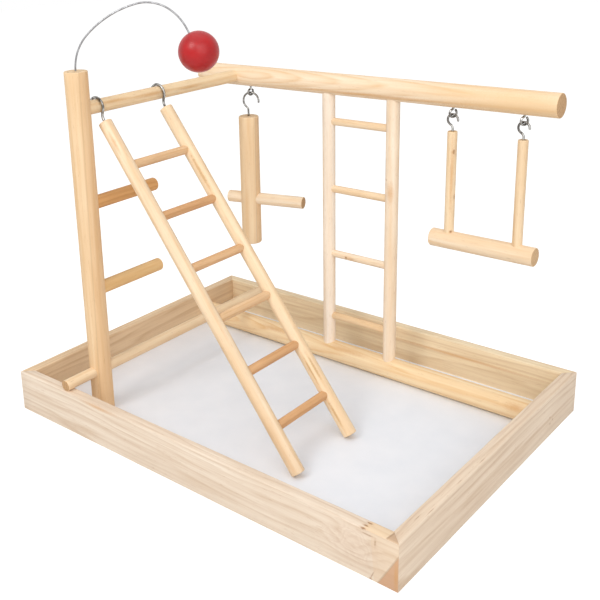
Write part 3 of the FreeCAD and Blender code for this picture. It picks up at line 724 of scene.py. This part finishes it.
# %% Dowel, cut end and rail finishes
DOWEL_PALE = [paint(253, 239, 222), paint(248, 224, 190), paint(232, 186, 140), paint(206, 150, 102)]
DOWEL_DEEP = [paint(238, 207, 170), paint(224, 178, 122), paint(200, 146, 94), paint(168, 112, 68)]
RAIL_PALE = [paint(253, 243, 229), paint(238, 214, 186), paint(218, 180, 142), paint(196, 150, 108)]
RAIL_DEEP = [paint(222, 199, 174), paint(208, 176, 144), paint(182, 142, 106), paint(158, 118, 84)]
END_PALE = [paint(242, 218, 184), paint(226, 190, 148), paint(204, 164, 122), paint(176, 132, 94)]
END_DEEP = [paint(218, 182, 140), paint(192, 150, 108), paint(166, 124, 86), paint(138, 98, 64)]
DOWEL_SHARES = (("Streaks", 0.3), ("Rings", 0.55), ("Fibre", 0.14))
PERCH_SHARES = (("Streaks", 0.3), ("Rings", 0.85), ("Fibre", 0.14))
HEART_SHARES = (("Streaks", 0.35), ("Rings", 0.3), ("Fibre", 0.14))
RAIL_SHARES = (("Streaks", 0.5), ("Rings", 0.8), ("Fibre", 0.16))
DRIFT_SHARE, FLECK_SHARE, FLECK_COLOUR = 0.3, 0.3, paint(182, 136, 92)
SANDED_ROUGHNESS, CUT_ROUGHNESS = (0.56, 0.72), (0.7, 0.85)
WOOD_SHINE, RING_RELIEF = 0.3, 0.8
GRAIN_RELIEF, PORE_RELIEF = 0.05 * MM, 0.12 * MM


def make_pine(name, ramps, shares, rings, marks, cuts=()):
    material, tree, shader, coords = new_material(name)
    found = find_marks(tree, coords, marks)
    grain = pine_in(tree, rings, found)
    colour, deep = by_tone(tree, ramps[0]), by_tone(tree, ramps[1])
    for label, share in (("Drift", DRIFT_SHARE), *shares):
        colour = washed(colour, (grain, label), share, deep)
    colour = washed(colour, (grain, "Flecks"), FLECK_SHARE, FLECK_COLOUR)
    colour = with_cuts(tree, coords, colour, cuts)
    join(with_marks(colour, found), (shader, "Base Color"))
    join(between((grain, "Fibre"), 0.0, 1.0, *SANDED_ROUGHNESS), (shader, "Roughness"))
    shader.inputs["Specular IOR Level"].default_value = WOOD_SHINE
    height = sums("ADD", (grain, "Fibre"), times((grain, "Rings"), RING_RELIEF))
    raised(shader, height, GRAIN_RELIEF)
    return material


END_RING_SHARE = 0.8
PORES_IN_METRE, PORE_SHARE, PORE_COLOUR = 1600.0, 0.25, paint(150, 104, 68)


def make_end_pine():
    material, tree, shader, coords = new_material("end_pine")
    grain = pine_in(tree, END_RINGS)
    colour, deep = by_tone(tree, END_PALE), by_tone(tree, END_DEEP)
    colour = washed(colour, (grain, "Rings"), END_RING_SHARE, deep)
    pores = between(spotted(coords, PORES_IN_METRE, 2.0), 0.42, 0.72)
    colour = washed(colour, pores, PORE_SHARE, PORE_COLOUR)
    join(colour, (shader, "Base Color"))
    join(between(pores, 0.0, 1.0, *CUT_ROUGHNESS), (shader, "Roughness"))
    shader.inputs["Specular IOR Level"].default_value = WOOD_SHINE
    raised(shader, pores, PORE_RELIEF)
    return material


# %% Make the six woods
DOWEL, RAIL = (DOWEL_PALE, DOWEL_DEEP), (RAIL_PALE, RAIL_DEEP)
# ring spacing, distance from the tree's heart and wander in millimetres, and late wood's power
DOWEL_RINGS = (4.4, 16.0, 8.0, 1.6)
PERCH_RINGS = (5.0, 30.0, 3.0, 1.8)
RAIL_RINGS = (4.6, 40.0, 14.0, 3.0)
FRONT_RINGS = (3.4, 40.0, 12.0, 2.4)
END_RINGS = (2.6, 14.0, 5.0, 1.5)
WOOD["dowel"] = make_pine("dowel_pine", DOWEL, DOWEL_SHARES, DOWEL_RINGS, DOWEL_MARKS)
WOOD["perch"] = make_pine("perch_pine", DOWEL, PERCH_SHARES, PERCH_RINGS, PERCH_MARKS)
WOOD["heart"] = make_pine("heart_pine", DOWEL, HEART_SHARES, DOWEL_RINGS, [], HEART_CUTS)
WOOD["rail"] = make_pine("rail_pine", RAIL, RAIL_SHARES, RAIL_RINGS, RAIL_MARKS)
WOOD["front"] = make_pine("front_rail_pine", RAIL, RAIL_SHARES, FRONT_RINGS, FRONT_MARKS, FRONT_CUTS)
WOOD["end"] = make_end_pine()
print("finishes:", ", ".join(material.name for material in WOOD.values()))

# %% [markdown]
# ## The tray
#
# Four boards meet in mitres, and a thin white panel sits in a groove inside them. A rail is a
# cube stretched to its size. Its inner corners are drawn back to make the mitres, the top
# edges are eased by a sanding block and the others only broken, and cuts along its length let
# the sanding show.

# %% Saw one rail
SANDED_EDGE = 0.9 * MM
BROKEN_EDGE = 0.3 * MM
RAIL_CUT_EVERY = 12 * MM
RAIL_SANDING = 0.2 * MM


def saw_rail(name, length, thick, height, middle, turn, tone, gold, wood):
    """A mitred board; its own +Y is the tray's inside."""
    clear_selection()
    middle_up = (0, thick / 2, height / 2)
    bpy.ops.mesh.primitive_cube_add(size=1.0, location=middle_up, scale=(length, thick, height))
    piece = bpy.context.object
    piece.name = name
    apply_place(piece)
    open_for_editing(piece)
    for side in (-1, 1):
        pick(piece, "VERT", lambda v: v.co.x * side > 0 and v.co.y > thick / 2)
        bpy.ops.transform.translate(value=(-side * thick, 0, 0))

    def long_and_high(edge):
        high = all(v.co.z > height - HAIR for v in edge.verts)
        return high and abs(edge.verts[0].co.y - edge.verts[1].co.y) < HAIR

    pick(piece, "EDGE", long_and_high)
    bpy.ops.mesh.bevel(offset=SANDED_EDGE, segments=3, affect="EDGES")
    pick(piece, "EDGE", lambda edge: edge.calc_face_angle(0) > math.radians(40))
    bpy.ops.mesh.bevel(offset=BROKEN_EDGE, segments=2, affect="EDGES")
    pick(piece, "EDGE", lambda edge: abs(edge.verts[0].co.x - edge.verts[1].co.x) > length / 2)
    bpy.ops.mesh.subdivide(number_cuts=round(length / RAIL_CUT_EVERY))
    close_editing()
    tones = [tone] * len(piece.data.vertices)
    lay_grain(piece, Vector((0, 1, 0)), Vector((0, 0, 1)), Vector((1, 0, 0)), tones, gold)
    piece.data.materials.append(WOOD[wood])
    piece.matrix_world = Matrix.Translation(middle) @ Matrix.Rotation(turn, 4, "Z")
    sand(piece, RAIL_SANDING)
    apply_place(piece)
    smooth_by_angle(piece, 30)
    return settle(piece, name, "stand")


# %% The four rails
tray_low, tray_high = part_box("front_rail")
TRAY_LENGTH = tray_high.x - tray_low.x
RAIL_THICK = tray_high.y - tray_low.y
RAIL_HEIGHT = tray_high.z
TRAY_WIDTH = 2 * abs(tray_low.y)
RAILS = [
    # name, length, middle of its outer foot, turn, tone, gold and wood
    ("front_rail", TRAY_LENGTH, (0, -TRAY_WIDTH / 2, 0), 0.0, 0.14, 0.0, "front"),
    ("back_rail", TRAY_LENGTH, (0, TRAY_WIDTH / 2, 0), math.pi, 0.06, 0.75, "rail"),
    ("left_rail", TRAY_WIDTH, (-TRAY_LENGTH / 2, 0, 0), -math.pi / 2, 0.34, 0.4, "rail"),
    ("right_rail", TRAY_WIDTH, (TRAY_LENGTH / 2, 0, 0), math.pi / 2, 0.22, 0.0, "rail"),
]
for name, length, middle, turn, *look in RAILS:
    rail = saw_rail(name, length, RAIL_THICK, RAIL_HEIGHT, Vector(middle), turn, *look)
    print(name, len(rail.data.polygons), "faces")

# %% [markdown]
# The panel and the fasteners already have the right shape in the frame, so they stay. The
# panel is a thin board with a white face: it needs a colour that is not quite white, a faint
# mottle and the orange-peel skin of a rolled paint. The screws are plated steel.


# %% Finishes for the panel and the fasteners
MOST_OF_NOISE = (0.3, 0.7)


def make_painted(name, patches, colours, peel_scale, roughness, relief, shine):
    """Two colours in soft patches under the orange peel of paint.

    patches are a noise: its scale for each metre, its detail and its roughness.
    """
    material, tree, shader, coords = new_material(name)
    patchy = between(spotted(coords, *patches), *MOST_OF_NOISE)
    join(mixed(patchy, *colours), (shader, "Base Color"))
    peel = spotted(coords, peel_scale, 2.0)
    join(between(peel, 0.0, 1.0, *roughness), (shader, "Roughness"))
    shader.inputs["Specular IOR Level"].default_value = shine
    raised(shader, peel, relief)
    return material


BLOOM_AND_REFLECTIONS, SCRATCHES = (380.0, 240.0), (2600.0, 900.0)  # changes in a metre, across and along
SCRATCH_DEPTH = 0.01 * MM


def make_plated(name, bright, dull_and_dark_reflection, low_rough, high_rough):
    """Metal with fine scratches, and a bloom partly its own and partly painted dark reflections."""
    material, tree, shader, coords = new_material(name)
    # the dull patches of this bloom are partly the metal's own and partly painted dark reflections
    bloom_and_reflections = noise_at(stretched((coords, "Object"), *BLOOM_AND_REFLECTIONS), 4.0, 0.6)
    join(mixed(between(bloom_and_reflections, 0.4, 0.6), bright, dull_and_dark_reflection), (shader, "Base Color"))
    join(between(bloom_and_reflections, *MOST_OF_NOISE, low_rough, high_rough), (shader, "Roughness"))
    shader.inputs["Metallic"].default_value = 1.0
    scratches = noise_at(stretched((coords, "Object"), *SCRATCHES), 2.0)
    raised(shader, scratches, SCRATCH_DEPTH)
    return material


METAL = {
    # the hook's dark patches are partly painted dark reflections, which give its bright and dark
    # streaks
    "hook": make_plated("bright_hook", paint(178, 176, 172), paint(92, 88, 84), 0.1, 0.24),
    "wire": make_plated("spring_wire", paint(168, 168, 170), paint(140, 139, 140), 0.3, 0.4),
    "screw": make_plated("zinc_screw", paint(190, 188, 180), paint(160, 156, 146), 0.3, 0.45),
}
WHITES = (paint(235, 239, 246), paint(241, 244, 250))
PANEL = make_painted("white_panel", (30.0, 4.0, 0.6), WHITES, 900.0, (0.4, 0.55), 0.03 * MM, 0.5)
for node, material in (
    ("tray_floor", PANEL),
    ("floor_screws", METAL["screw"]),
    ("corner_brads", METAL["screw"]),
):
    part = frame["nodes"][node]
    for material_slot in part.material_slots:
        material_slot.material = material
    print(node, "finished as", material.name)

# %% [markdown]
# ## The fixed frame of dowels
#
# Each dowel's place comes from its CAD node's box, so nothing is measured twice. A dowel that
# lies along one axis has its two ends at the middles of the box's end faces, and its radius is
# half of the box's other size.


# %% Dowels along one axis
def axis_ends(node, axis):
    """The two end points and the radius of a straight node that lies along an axis."""
    low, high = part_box(node)
    middle = (low + high) / 2
    start, end = middle.copy(), middle.copy()
    start[axis], end[axis] = low[axis], high[axis]
    radius = (high[(axis + 1) % 3] - low[(axis + 1) % 3]) / 2
    return start, end, radius


X, Y, Z = 0, 1, 2
FRONT, RIGHT, NEAR, UP = (0, -1, 0), (1, 0, 0), (0.64, -0.77, 0), (0, -0.5, 0.87)
AWAY = (0, 0.92, -0.38)
FIXED_DOWELS = [
    # node, axis, (tone, end tone, gold, side that shows flat grain), wood, body
    ("corner_post", Z, (0.4, 0.1, 0.2, NEAR), "heart", "stand"),
    ("cross_dowel", Y, (0.2, 0.6, 0.3, RIGHT), "dowel", "stand"),
    ("base_bar", X, (0.16, 0.5, 0.65, AWAY), "perch", "stand"),
    ("side_perch", Y, (0.2, 0.5, 0.5, UP), "dowel", "stand"),
    ("long_perch", X, (0.16, 0.52, 0.15, AWAY), "perch", "stand"),
    ("upper_peg", Y, (0.68, 0.5, 0.9, UP), "dowel", "stand"),
    ("middle_peg", Y, (0.38, 0.4, 0.9, RIGHT), "dowel", "stand"),
    ("back_ladder_left_stile", Z, (0.0, 0.3, 0.0, NEAR), "dowel", "stand"),
    ("back_ladder_right_stile", Z, (0.06, 0.3, 0.1, NEAR), "dowel", "stand"),
    ("back_rung_1", X, (0.4, 0.5, 0.2, FRONT), "dowel", "stand"),
    ("back_rung_2", X, (0.12, 0.5, 0.1, UP), "dowel", "stand"),
    ("back_rung_3", X, (0.12, 0.5, 0.35, FRONT), "dowel", "stand"),
    ("back_rung_4", X, (0.18, 0.5, 0.3, UP), "dowel", "stand"),
    ("swing_bar", X, (0.18, 0.3, 0.15, UP), "dowel", "swing"),
]
for node, axis, look, wood, body in FIXED_DOWELS:
    start, end, radius = axis_ends(node, axis)
    settle(turn_dowel(node, start, end, radius, look, wood), node, body)
    print(node, "radius %.1f mm, length %.0f mm" % (radius / MM, (end - start).length / MM))

# %% [markdown]
# ## The leaning ladder
#
# Its stiles slant, so a box gives their reach but not their ends. The ends follow from the
# angle of the ladder: the rim of the foot touches the box's low and right sides, and the rim
# of the head its high and left sides. The rungs lie along Y and read straight from the box.

# %% Stiles and rungs of the leaning ladder
LEAN = math.radians(LADDER_LEAN)
CHAMFER = 0.8 * MM
HOOK_PIT = 1.7 * MM


def slanted_ends(node):
    """The middles of the foot and the head of a leaning stile, and its radius."""
    low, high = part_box(node)
    radius = (high.y - low.y) / 2
    side = radius * math.cos(LEAN)
    rim = (radius - CHAMFER) * math.sin(LEAN)
    middle = (low.y + high.y) / 2
    foot = Vector((0, middle, low.z + rim))
    head = Vector((0, middle, high.z - rim))
    length = (head.z - foot.z) / math.cos(LEAN)
    foot.x = high.x - side + CHAMFER * math.sin(LEAN)
    head.x = foot.x - length * math.sin(LEAN)
    return foot, head, radius


for side, tone, gold in (("front", 0.28, 0.0), ("back", 0.22, 0.3)):
    node = "leaning_ladder_%s_stile" % side
    foot, head, radius = slanted_ends(node)
    look = (tone, 0.25, gold, NEAR)
    settle(turn_dowel(node, foot, head, radius, look, pit=HOOK_PIT), node, "leaning_ladder")
    print(node, "foot", in_mm(foot), "head", in_mm(head))
RUNG_TONES = [0.7, 0.68, 0.5, 0.58, 0.72, 0.5]
for number, tone in enumerate(RUNG_TONES, start=1):
    node = "leaning_rung_%d" % number
    start, end, radius = axis_ends(node, Y)
    rung = turn_dowel(node, start, end, radius, (tone, tone, 0.1, UP), sides=28)
    settle(rung, node, "leaning_ladder")

# %% [markdown]
# ## Bending wire
#
# Hooks and eyes are wire bent round pins. The same is done here: a circle is the end of the
# wire, spin sweeps it round each pin's centre, and extrude pulls the straight stem. The tip's
# rim is bevelled, because a cut wire end has been tumbled smooth. The piece is bent flat in
# its own XZ plane, then turned and moved to its place.

# %% Bend a wire from turns and straights
WIRE_SIDES = 20
TIP_ROUNDING = 0.22  # share of the wire's thickness


def toward(heading, length=1.0):
    """The step across and up of a length along a heading in degrees from +X."""
    angle = math.radians(heading)
    return length * math.cos(angle), length * math.sin(angle)


def start_wire(name, thick, place, heading):
    """A disc of wire at a place in the XZ plane, facing a heading."""
    clear_selection()
    bpy.ops.mesh.primitive_circle_add(
        vertices=WIRE_SIDES,
        radius=thick / 2,
        fill_type="NGON",
        location=(place[0], 0, place[1]),
        rotation=(0, math.radians(90 - heading), 0),
    )
    piece = bpy.context.object
    piece.name = name
    apply_place(piece)
    open_for_editing(piece)
    bpy.ops.mesh.select_mode(type="FACE")
    bpy.ops.mesh.select_all(action="SELECT")
    return piece


def bend_wire(place, heading, radius, turn, steps):
    """Sweep the selected end round a pin; a positive turn is to the left. Returns the new end."""
    inward = 90 if turn > 0 else -90
    side = toward(heading + inward, radius)
    pin = (place[0] + side[0], place[1] + side[1])
    bpy.ops.mesh.spin(
        steps=steps,
        angle=math.radians(turn),
        center=(pin[0], 0, pin[1]),
        axis=(0, 1, 0),
    )
    arm = toward(heading + turn - inward, radius)
    return (pin[0] + arm[0], pin[1] + arm[1]), heading + turn


def run_wire(place, heading, length):
    """Pull the selected end straight on. Returns the new end."""
    way = toward(heading, length)
    bpy.ops.mesh.extrude_region_move(TRANSFORM_OT_translate={"value": (way[0], 0, way[1])})
    return (place[0] + way[0], place[1] + way[1])


def finish_wire(piece, tip, tip_heading, thick, material, matrix):
    """Round the cut tip, close the skin, and carry the piece to its place."""
    across, up = toward(tip_heading)
    way, middle = Vector((across, 0, up)), Vector((tip[0], 0, tip[1]))

    def at_tip(edge):
        arms = [v.co - middle for v in edge.verts]
        return all(abs(arm.dot(way)) < HAIR and arm.length < thick for arm in arms)

    close_editing()
    mend_normals(piece)
    open_for_editing(piece)
    pick(piece, "EDGE", at_tip)
    bpy.ops.mesh.bevel(offset=thick * TIP_ROUNDING, segments=3, affect="EDGES")
    close_editing()
    piece.data.materials.append(material)
    piece.matrix_world = matrix
    apply_place(piece)
    smooth_by_angle(piece, 40)
    return piece


# %% [markdown]
# A screw hook is a question mark: a wide bend round what it hangs on, then a tighter bend the
# other way that brings the stem back under the middle. How tight follows from the shoulder
# angle at which the two bends meet.


# %% Bend a screw hook
TIP_DROP = 12.0
RING_STEPS, HOOK_NECK_STEPS, EYE_NECK_STEPS = 44, 14, 10


def hang_hook(node, body, thick, radius, shoulder, stem, matrix, offset=0.0):
    """A hook bent round its matrix's middle; its stem is that much off the middle."""
    share = math.cos(math.radians(shoulder))
    small = (offset + radius * share) / (1 - share)
    tip = toward(-TIP_DROP, radius)
    tip_heading = 90 - TIP_DROP
    piece = start_wire(node, thick, tip, tip_heading)
    place, heading = bend_wire(tip, tip_heading, radius, 180 + shoulder + TIP_DROP, RING_STEPS)
    place, heading = bend_wire(place, heading, small, -shoulder, HOOK_NECK_STEPS)
    run_wire(place, heading, stem)
    finish_wire(piece, tip, tip_heading, thick, METAL["hook"], matrix)
    return settle(piece, node, body)


# %% Hooks of the leaning ladder
JOINTS = {joint["name"]: joint for joint in frame["joints"]}
HOOK_RADIUS, SWING_HOOK_RADIUS = 8.2 * MM, 4.7 * MM
HOOK_SHOULDER, T_SHOULDER = 63.0, 55.0
STEM, T_STEM = 14.0 * MM, 17.0 * MM

ladder_low, ladder_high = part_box("leaning_ladder_front_hook")
LADDER_WIRE = ladder_high.y - ladder_low.y
ladder_joint = Vector(JOINTS["ladder_lift"]["pos_m"])
turn = Matrix.Rotation(-LEAN, 4, "Y") @ Matrix.Rotation(math.pi, 4, "Z")
for side in ("front", "back"):
    node = "leaning_ladder_%s_hook" % side
    low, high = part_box(node)
    centre = Vector((ladder_joint.x, (low.y + high.y) / 2, ladder_joint.z))
    matrix = Matrix.Translation(centre) @ turn
    hook = hang_hook(node, "leaning_ladder", LADDER_WIRE, HOOK_RADIUS, HOOK_SHOULDER, STEM, matrix)
    print(node, len(hook.data.polygons), "faces")

# %% Hooks and stiles of the swing
swing_joint = Vector(JOINTS["swing_sway"]["pos_m"])
low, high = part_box("swing_left_hook")
SMALL_WIRE = high.y - low.y
SWING_PIT = 1.3 * MM
for side, look in (("left", (0.12, 0.2, 0.5, NEAR)), ("right", (0.28, 0.1, 0.2, NEAR))):
    hook, stile = "swing_%s_hook" % side, "swing_%s_stile" % side
    low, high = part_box("swing_%s_stile" % side)
    centre = Vector(((low.x + high.x) / 2, swing_joint.y, swing_joint.z - SWING_HOOK_RADIUS))
    matrix = Matrix.Translation(centre)
    hang_hook(hook, "swing", SMALL_WIRE, SWING_HOOK_RADIUS, HOOK_SHOULDER, STEM, matrix)
    start, end, radius = axis_ends(stile, Z)
    settle(turn_dowel(stile, start, end, radius, look, pit=SWING_PIT, sides=32), stile, "swing")

# %% Hook, body and peg of the T perch
t_joint = JOINTS["t_perch_sway"]
t_pivot = Vector(t_joint["pos_m"])
T_YAW = math.atan2(t_joint["axis"][1], t_joint["axis"][0])
T_ALONG = Vector((math.cos(T_YAW), math.sin(T_YAW), 0))
start, end, radius = axis_ends("t_perch_body", Z)
T_OFFSET = (t_pivot - start).dot(T_ALONG)
t_centre = t_pivot - Vector((0, 0, HOOK_RADIUS))
matrix = Matrix.Translation(t_centre) @ Matrix.Rotation(T_YAW, 4, "Z")
hang_hook("t_perch_hook", "t_perch", SMALL_WIRE, HOOK_RADIUS, T_SHOULDER, T_STEM, matrix, -T_OFFSET)
T_PIT, T_RIM = 2.2 * MM, 1.6 * MM
look = (0.34, 0.12, 0.1, FRONT)
body = turn_dowel("t_perch_body", start, end, radius, look, "heart", pit=T_PIT, rim=T_RIM)
settle(body, "t_perch_body", "t_perch")
low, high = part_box("t_perch_peg")
peg_radius = (high.z - low.z) / 2
peg_length = (high.x - low.x - 2 * peg_radius * math.sin(T_YAW)) / math.cos(T_YAW)
peg_middle = (low + high) / 2
half_peg = T_ALONG * peg_length / 2
look = (0.12, 0.6, 0.2, UP)
start, end = peg_middle - half_peg, peg_middle + half_peg
peg = turn_dowel("t_perch_peg", start, end, peg_radius, look, sides=32)
settle(peg, "t_perch_peg", "t_perch")
print("T perch turned %.1f degrees, peg %.1f mm long" % (math.degrees(T_YAW), peg_length / MM))

# %% [markdown]
# A screw eye is a ring of wire that is not quite closed: its free end stops just short of the
# shank, and a tight bend takes the other end straight up into the perch.

# %% Bend a screw eye
FREE_END, LEAVES_RING = 56.0, 110.0  # degrees round the ring


def bend_eye(name, radius, thick, reach, matrix):
    """A ring round the origin with its shank up along Z, ending at the given reach."""
    tip = toward(FREE_END, radius)
    tip_heading = FREE_END - 90
    piece = start_wire(name, thick, tip, tip_heading)
    place, heading = bend_wire(tip, tip_heading, radius, -(360 - LEAVES_RING + FREE_END), RING_STEPS)
    rise = 90 - (heading % 360)
    pin = -place[0] / (1 - math.sin(math.radians(heading)))
    place, heading = bend_wire(place, heading, pin, rise, EYE_NECK_STEPS)
    run_wire(place, heading, reach - place[1])
    return finish_wire(piece, tip, tip_heading, thick, METAL["hook"], matrix)


# %% The three eyes
EYE_TURNS = [("swing_left_eye", 60.0), ("swing_right_eye", 60.0), ("t_perch_eye", 75.0)]
for node, degrees in EYE_TURNS:
    turn = math.radians(degrees)
    low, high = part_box(node)
    ring_outer = (high.y - low.y - SMALL_WIRE * (1 - math.sin(turn))) / 2 / math.sin(turn)
    radius = ring_outer - SMALL_WIRE / 2
    centre = Vector(((low.x + high.x) / 2, (low.y + high.y) / 2, low.z + ring_outer))
    matrix = Matrix.Translation(centre) @ Matrix.Rotation(turn, 4, "Z")
    eye = bend_eye(node, radius, SMALL_WIRE, high.z - centre.z, matrix)
    settle(eye, node, "stand")
    print(node, "ring radius %.2f mm" % (radius / MM))

# %% [markdown]
# ## The springy wire and its ball
#
# The wire rises from the top of the post and bends over in four arcs, each turning the same
# way, to end inside the ball. The real wire bends at its root when the ball is pushed.

# %% Bend the springy wire
WIRE_YAW = math.radians(40.0)
STRAIGHT_UP = 90.0
WIRE_BENDS = [(41.0, 44.0), (84.8, 32.7), (33.6, 52.4), (42.3, 25.8)]  # radius in mm, turn
FEWEST_STEPS, DEGREES_IN_STEP = 8, 2.5
WIRE_IN_POST = 12.0 * MM
WIRE_CLEAR = 0.3 * MM
WIRE_END_RUN = 16.0 * MM
BALL_WIRE = 1.6 * MM
post_low, post_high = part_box("corner_post")
post_top = Vector(((post_low.x + post_high.x) / 2, (post_low.y + post_high.y) / 2, post_high.z))
wire_start = (0.0, -WIRE_IN_POST)
heading = STRAIGHT_UP
springy = start_wire("springy_wire", BALL_WIRE, wire_start, heading)
place = run_wire(wire_start, heading, WIRE_IN_POST + WIRE_CLEAR)
for radius, turn in WIRE_BENDS:
    steps = max(FEWEST_STEPS, round(turn / DEGREES_IN_STEP))
    place, heading = bend_wire(place, heading, radius * MM, -turn, steps)
run_wire(place, heading, WIRE_END_RUN)
matrix = Matrix.Translation(post_top) @ Matrix.Rotation(WIRE_YAW, 4, "Z")
finish_wire(springy, wire_start, STRAIGHT_UP, BALL_WIRE, METAL["wire"], matrix)
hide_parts("ball_wire", "ball_wire_root")
out = Matrix.Rotation(WIRE_YAW, 3, "Z") @ Vector((1, 0, 0))
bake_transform(springy)

# %% [markdown]
# The ball is turned wood under thick red lacquer. It starts as a sphere. Round the place where
# the wire enters, its points are drawn together and the innermost are pushed in, like the rim
# of a drilled hole that the lacquer has flooded.

# %% Turn and lacquer the ball
DIMPLE_MOUTH, DIMPLE_FLOOR, DIMPLE_DEPTH = 1.6 * MM, 0.7 * MM, 2.0 * MM
DRAWN_IN = 0.8
REDS = (paint(182, 14, 18), paint(168, 10, 15))
LACQUER = make_painted("red_lacquer", (90.0, 2.0, 0.5), REDS, 500.0, (0.32, 0.4), 0.02 * MM, 0.45)


def pick_near_wire(reach):
    pick(ball, "VERT", lambda v: v.co.z > 0 and math.hypot(v.co.x, v.co.y) < reach)


low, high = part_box("red_ball")
BALL_RADIUS = (high.x - low.x) / 2
across, up = toward(heading)
wire_way = out * across + Vector((0, 0, up))
clear_selection()
bpy.ops.mesh.primitive_uv_sphere_add(segments=64, ring_count=40, radius=BALL_RADIUS, location=(0, 0, 0))
ball = bpy.context.object
ball.name = "red_ball"
open_for_editing(ball)
pick_near_wire(DIMPLE_MOUTH)
bpy.ops.transform.resize(value=(DRAWN_IN, DRAWN_IN, 1.0), center_override=(0, 0, BALL_RADIUS))
pick_near_wire(DIMPLE_FLOOR)
bpy.ops.transform.translate(value=(0, 0, -DIMPLE_DEPTH))
close_editing()
ball.data.materials.append(LACQUER)
turn = (-wire_way).to_track_quat("Z", "Y").to_matrix().to_4x4()
ball.matrix_world = Matrix.Translation((low + high) / 2) @ turn
apply_place(ball)
smooth_by_angle(ball, 50)
settle(ball, "red_ball", "wire_and_ball")
print("ball radius %.1f mm at" % (BALL_RADIUS / MM), in_mm((low + high) / 2))

# %% [markdown]
# ## Floor, light and background
#
# The stand stands on a plain pale floor in front of white. Four square lamps and an even
# surround light it: the key from the front left, a large fill from the right, a small one near
# the camera that gives the ball its second highlight, and a weak one overhead. The surround
# and the floor are white where the camera or a reflection sees them, and weaker as light, so
# the background is white without bleaching the wood.

# %% The surround
SURROUND_LIGHT = 0.46
WHITE = (1, 1, 1, 1)


def emptied(owner):
    """The node tree of a world or a material, with nothing in it."""
    owner.use_nodes = True
    owner.node_tree.nodes.clear()
    return owner.node_tree


def show_and_light(tree, seen, lit, output):
    """One shader for camera, glossy and transmission rays, another for the light that bounces."""
    path = add_node(tree, "ShaderNodeLightPath")
    direct = sums("MAXIMUM", (path, "Is Camera Ray"), (path, "Is Glossy Ray"))
    direct = sums("MAXIMUM", direct, (path, "Is Transmission Ray"))
    choose = add_node(tree, "ShaderNodeMixShader")
    for source, place in ((direct, 0), ((lit, 0), 1), ((seen, 0), 2)):
        join(source, (choose, place))
    join((choose, 0), (add_node(tree, output), 0))


world = bpy.data.worlds.new("studio")
bpy.context.scene.world = world
tree = emptied(world)
even = add_node(tree, "ShaderNodeBackground", {"Color": WHITE, "Strength": SURROUND_LIGHT})
white = add_node(tree, "ShaderNodeBackground", {"Color": WHITE, "Strength": 1.0})
show_and_light(tree, white, even, "ShaderNodeOutputWorld")
print("surround", world.name)

# %% The floor
FLOOR_DROP, FLOOR_SIZE = 0.1 * MM, 8.0
FLOOR_SEEN, FLOOR_GLOW, FLOOR_LIT = 0.32, 0.88, 0.75

clear_selection()
bpy.ops.mesh.primitive_plane_add(size=FLOOR_SIZE, location=(0, 0, -FLOOR_DROP))
floor = bpy.context.object
floor.name = "studio_floor"
material = bpy.data.materials.new("studio_floor")
tree = emptied(material)
matt = add_node(tree, "ShaderNodeBsdfDiffuse", {"Color": (*[FLOOR_SEEN] * 3, 1)})
pale = add_node(tree, "ShaderNodeBsdfDiffuse", {"Color": (*[FLOOR_LIT] * 3, 1)})
glow = add_node(tree, "ShaderNodeEmission", {"Color": WHITE, "Strength": FLOOR_GLOW})
lifted = add_node(tree, "ShaderNodeAddShader")
join((matt, 0), (lifted, 0))
join((glow, 0), (lifted, 1))
show_and_light(tree, lifted, pale, "ShaderNodeOutputMaterial")
floor.data.materials.append(material)
floor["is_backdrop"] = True
print("floor", floor.name)

# %% The four lamps
LAMPS = [
    # name, place, size and power
    ("soft_key", (-0.18, -1.45, 1.45), 0.8, 13.3),
    ("soft_fill", (1.60, -0.95, 1.10), 2.0, 17.6),
    ("soft_front", (1.00, -1.20, 1.25), 0.4, 2.2),
    ("soft_top", (-0.10, 0.00, 1.90), 1.6, 5.0),
]
AIM = Vector((0, 0, 0.12))

for name, place, size, power in LAMPS:
    lamp_data = bpy.data.lights.new(name, "AREA")
    lamp_data.shape = "SQUARE"
    lamp_data.size = size
    lamp_data.energy = power
    lamp = bpy.data.objects.new(name, lamp_data)
    bpy.context.scene.collection.objects.link(lamp)
    lamp.location = place
    lamp.rotation_euler = (AIM - Vector(place)).to_track_quat("-Z", "Y").to_euler()

bpy.context.scene.view_settings.view_transform = "Standard"
print(len(LAMPS), "lamps")

# %% [markdown]
# ## Check the size and finish
#
# The dressed stand has to fill the same box as its frame.

# %% Write the sizes and finish
low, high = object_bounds()
